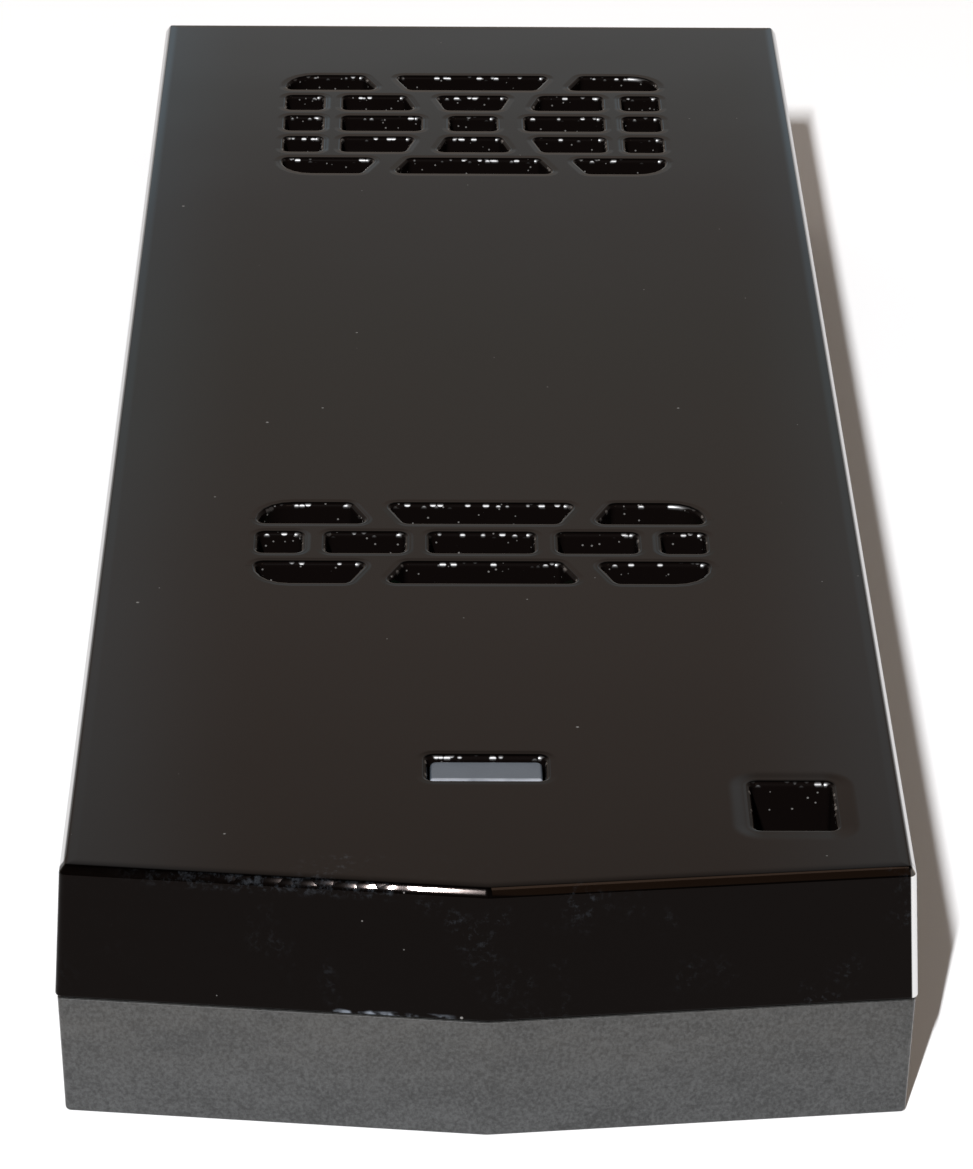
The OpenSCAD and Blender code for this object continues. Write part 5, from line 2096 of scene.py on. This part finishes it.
@dataclass(frozen=True)
class SoftBox:
    """An oblong lamp turned to the object, in metres."""

    name: str
    way: Corner
    reach: float
    size: Pair
    power: float
    colour: Colour

    def build(self) -> None:
        """Hangs the lamp at its reach along its way from the object."""
        data = bpy.data.lights.new(self.name, "AREA")
        data.shape = "RECTANGLE"
        data.size, data.size_y = self.size
        data.energy = self.power
        data.color = self.colour
        at = Vector(self.way) * self.reach
        turn = at.to_track_quat("Z", "Y").to_matrix().to_4x4()
        link(self.name, data).matrix_world = Matrix.Translation(at) @ turn


@dataclass
class Studio:
    """Camera, floor and light, in metres.

    The lamps are a small bright key in front, above and a little to the left, and two weak warm ones to the
    right. The surround's stops give its colour by height, from the horizon to overhead.
    """

    camera_at: Corner = (-0.00292, -0.2458, 0.1230)
    yaw: float = -0.821
    pitch: float = 63.002
    roll: float = 0.544
    focal_px: float = 5116.3
    frame_h: float = 1169.0
    sensor: float = 36.0
    clip: Pair = (0.01, 100.0)
    floor_half: float = 6.0
    floor_colour: Colour = (0.895, 0.89, 0.885)
    stops: tuple[tuple[float, Colour], ...] = (
        (0.0, (0.70, 0.58, 0.48)),
        (0.30, (0.76, 0.67, 0.60)),
        (0.355, (0.87, 0.88, 0.88)),
        (0.368, (0.76, 0.755, 0.735)),
        (0.385, (0.685, 0.64, 0.615)),
        (0.41, (0.705, 0.655, 0.595)),
        (0.46, (0.85, 0.715, 0.635)),
        (0.52, (0.85, 0.70, 0.61)),
        (0.72, (0.14, 0.13, 0.125)),
        (1.0, (0.08, 0.08, 0.08)),
    )
    strength: float = 1.17
    front_light: float = 0.30
    behind_light: float = 0.92
    behind_y: Pair = (0.0, 0.7)
    right_shade: float = 0.55
    right_x: Pair = (-0.1, 0.5)
    haze: Colour = (1.3, 1.55, 1.75)
    haze_in: Pair = (0.045, 0.09)
    haze_out: Pair = (0.12, 0.18)
    lamps: tuple[SoftBox, ...] = (
        SoftBox("key", (-0.170, -0.78, 0.60), 1.5, (0.016, 0.15), 37.2, (0.98, 1.0, 1.03)),
        SoftBox("fill", (0.285, -0.78, 0.87), 1.45, (0.42, 0.30), 2.2, (1.0, 0.78, 0.6)),
        SoftBox("glow", (0.285, -0.78, 0.58), 1.7, (0.42, 0.42), 0.67, (1.0, 0.66, 0.42)),
    )

    def build(self) -> list[Piece]:
        """Sets the camera, the floor, the surround and the lamps.

        Returns:
            The floor.
        """
        bpy.context.scene.view_settings.view_transform = "Standard"
        self._camera()
        floor = self._floor()
        self._surround()
        for lamp in self.lamps:
            lamp.build()
        return [floor]

    def _camera(self) -> None:
        """The camera at the photograph's place, turned by yaw, pitch and roll."""
        data = bpy.data.cameras.new("camera")
        data.sensor_width = self.sensor
        data.lens = self.focal_px * self.sensor / self.frame_h
        data.clip_start, data.clip_end = self.clip
        camera = link("camera", data)
        yaw, pitch, roll = (math.radians(a) for a in (self.yaw, self.pitch, self.roll))
        turn = Matrix.Rotation(yaw, 4, "Z") @ Matrix.Rotation(pitch, 4, "X") @ Matrix.Rotation(roll, 4, "Z")
        camera.matrix_world = Matrix.Translation(self.camera_at) @ turn
        bpy.context.scene.camera = camera

    def _floor(self) -> Piece:
        """A wide pale floor.

        Returns:
            The floor.
        """
        surface = Surface()
        reach = self.floor_half / MM
        u, v = np.meshgrid(np.linspace(-reach, reach, 3), np.linspace(-reach, reach, 3))
        surface.sheet(np.stack([u, v, 0 * u], -1))
        floor = surface.piece("floor")
        material = bpy.data.materials.new("pale_floor")
        material.use_nodes = True
        paint = Paint(material.node_tree)
        paint.end(paint.node("ShaderNodeBsdfDiffuse", {}, {"Color": (*self.floor_colour, 1.0)}))
        floor.data.materials.append(material)
        return floor

    def _surround(self) -> None:
        """A soft surround, brighter behind the object, with a band of cool haze on either side."""
        world = bpy.data.worlds.new("surround")
        world.use_nodes = True
        bpy.context.scene.world = world
        paint = Paint(world.node_tree)
        right, back, height = paint.split(paint.node("ShaderNodeTexCoord", {}, {}, "Generated"))
        glow = paint.node("ShaderNodeValToRGB", {"stops": self.stops}, {"Fac": height})
        light = self.front_light + self.behind_light * back.ramp(*self.behind_y)
        share = light * (1 - self.right_shade * right.ramp(*self.right_x))
        aside = abs(right + math.sin(math.radians(self.yaw)))
        bands = aside.ramp(*self.haze_in) * (1 - aside.ramp(*self.haze_out))
        sky = paint.mix(share, (0.0, 0.0, 0.0), paint.mix(bands, glow, self.haze, "MULTIPLY"))
        shader = paint.node("ShaderNodeBackground", {}, {"Color": sky, "Strength": self.strength})
        paint.node("ShaderNodeOutputWorld", {}, {"Surface": shader})


def main() -> None:
    """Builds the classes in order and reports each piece."""
    logging.basicConfig(level=logging.INFO, format="%(name)s: %(message)s")
    ports = Ports.from_frame()
    makers = (
        TopCover(CASE, ports), BottomCover(CASE, ports), LightPipe(CASE), PowerButton(CASE, ports),
        VideoPlug(ports), LargeSocket(ports), SmallSocket(ports), Inside(), Studio(),
    )
    for maker in makers:
        for piece in maker.build():
            LOG.info("%s made %s with %d faces", type(maker).__name__, piece.name, len(piece.data.polygons))


if __name__ == "__main__":
    main()
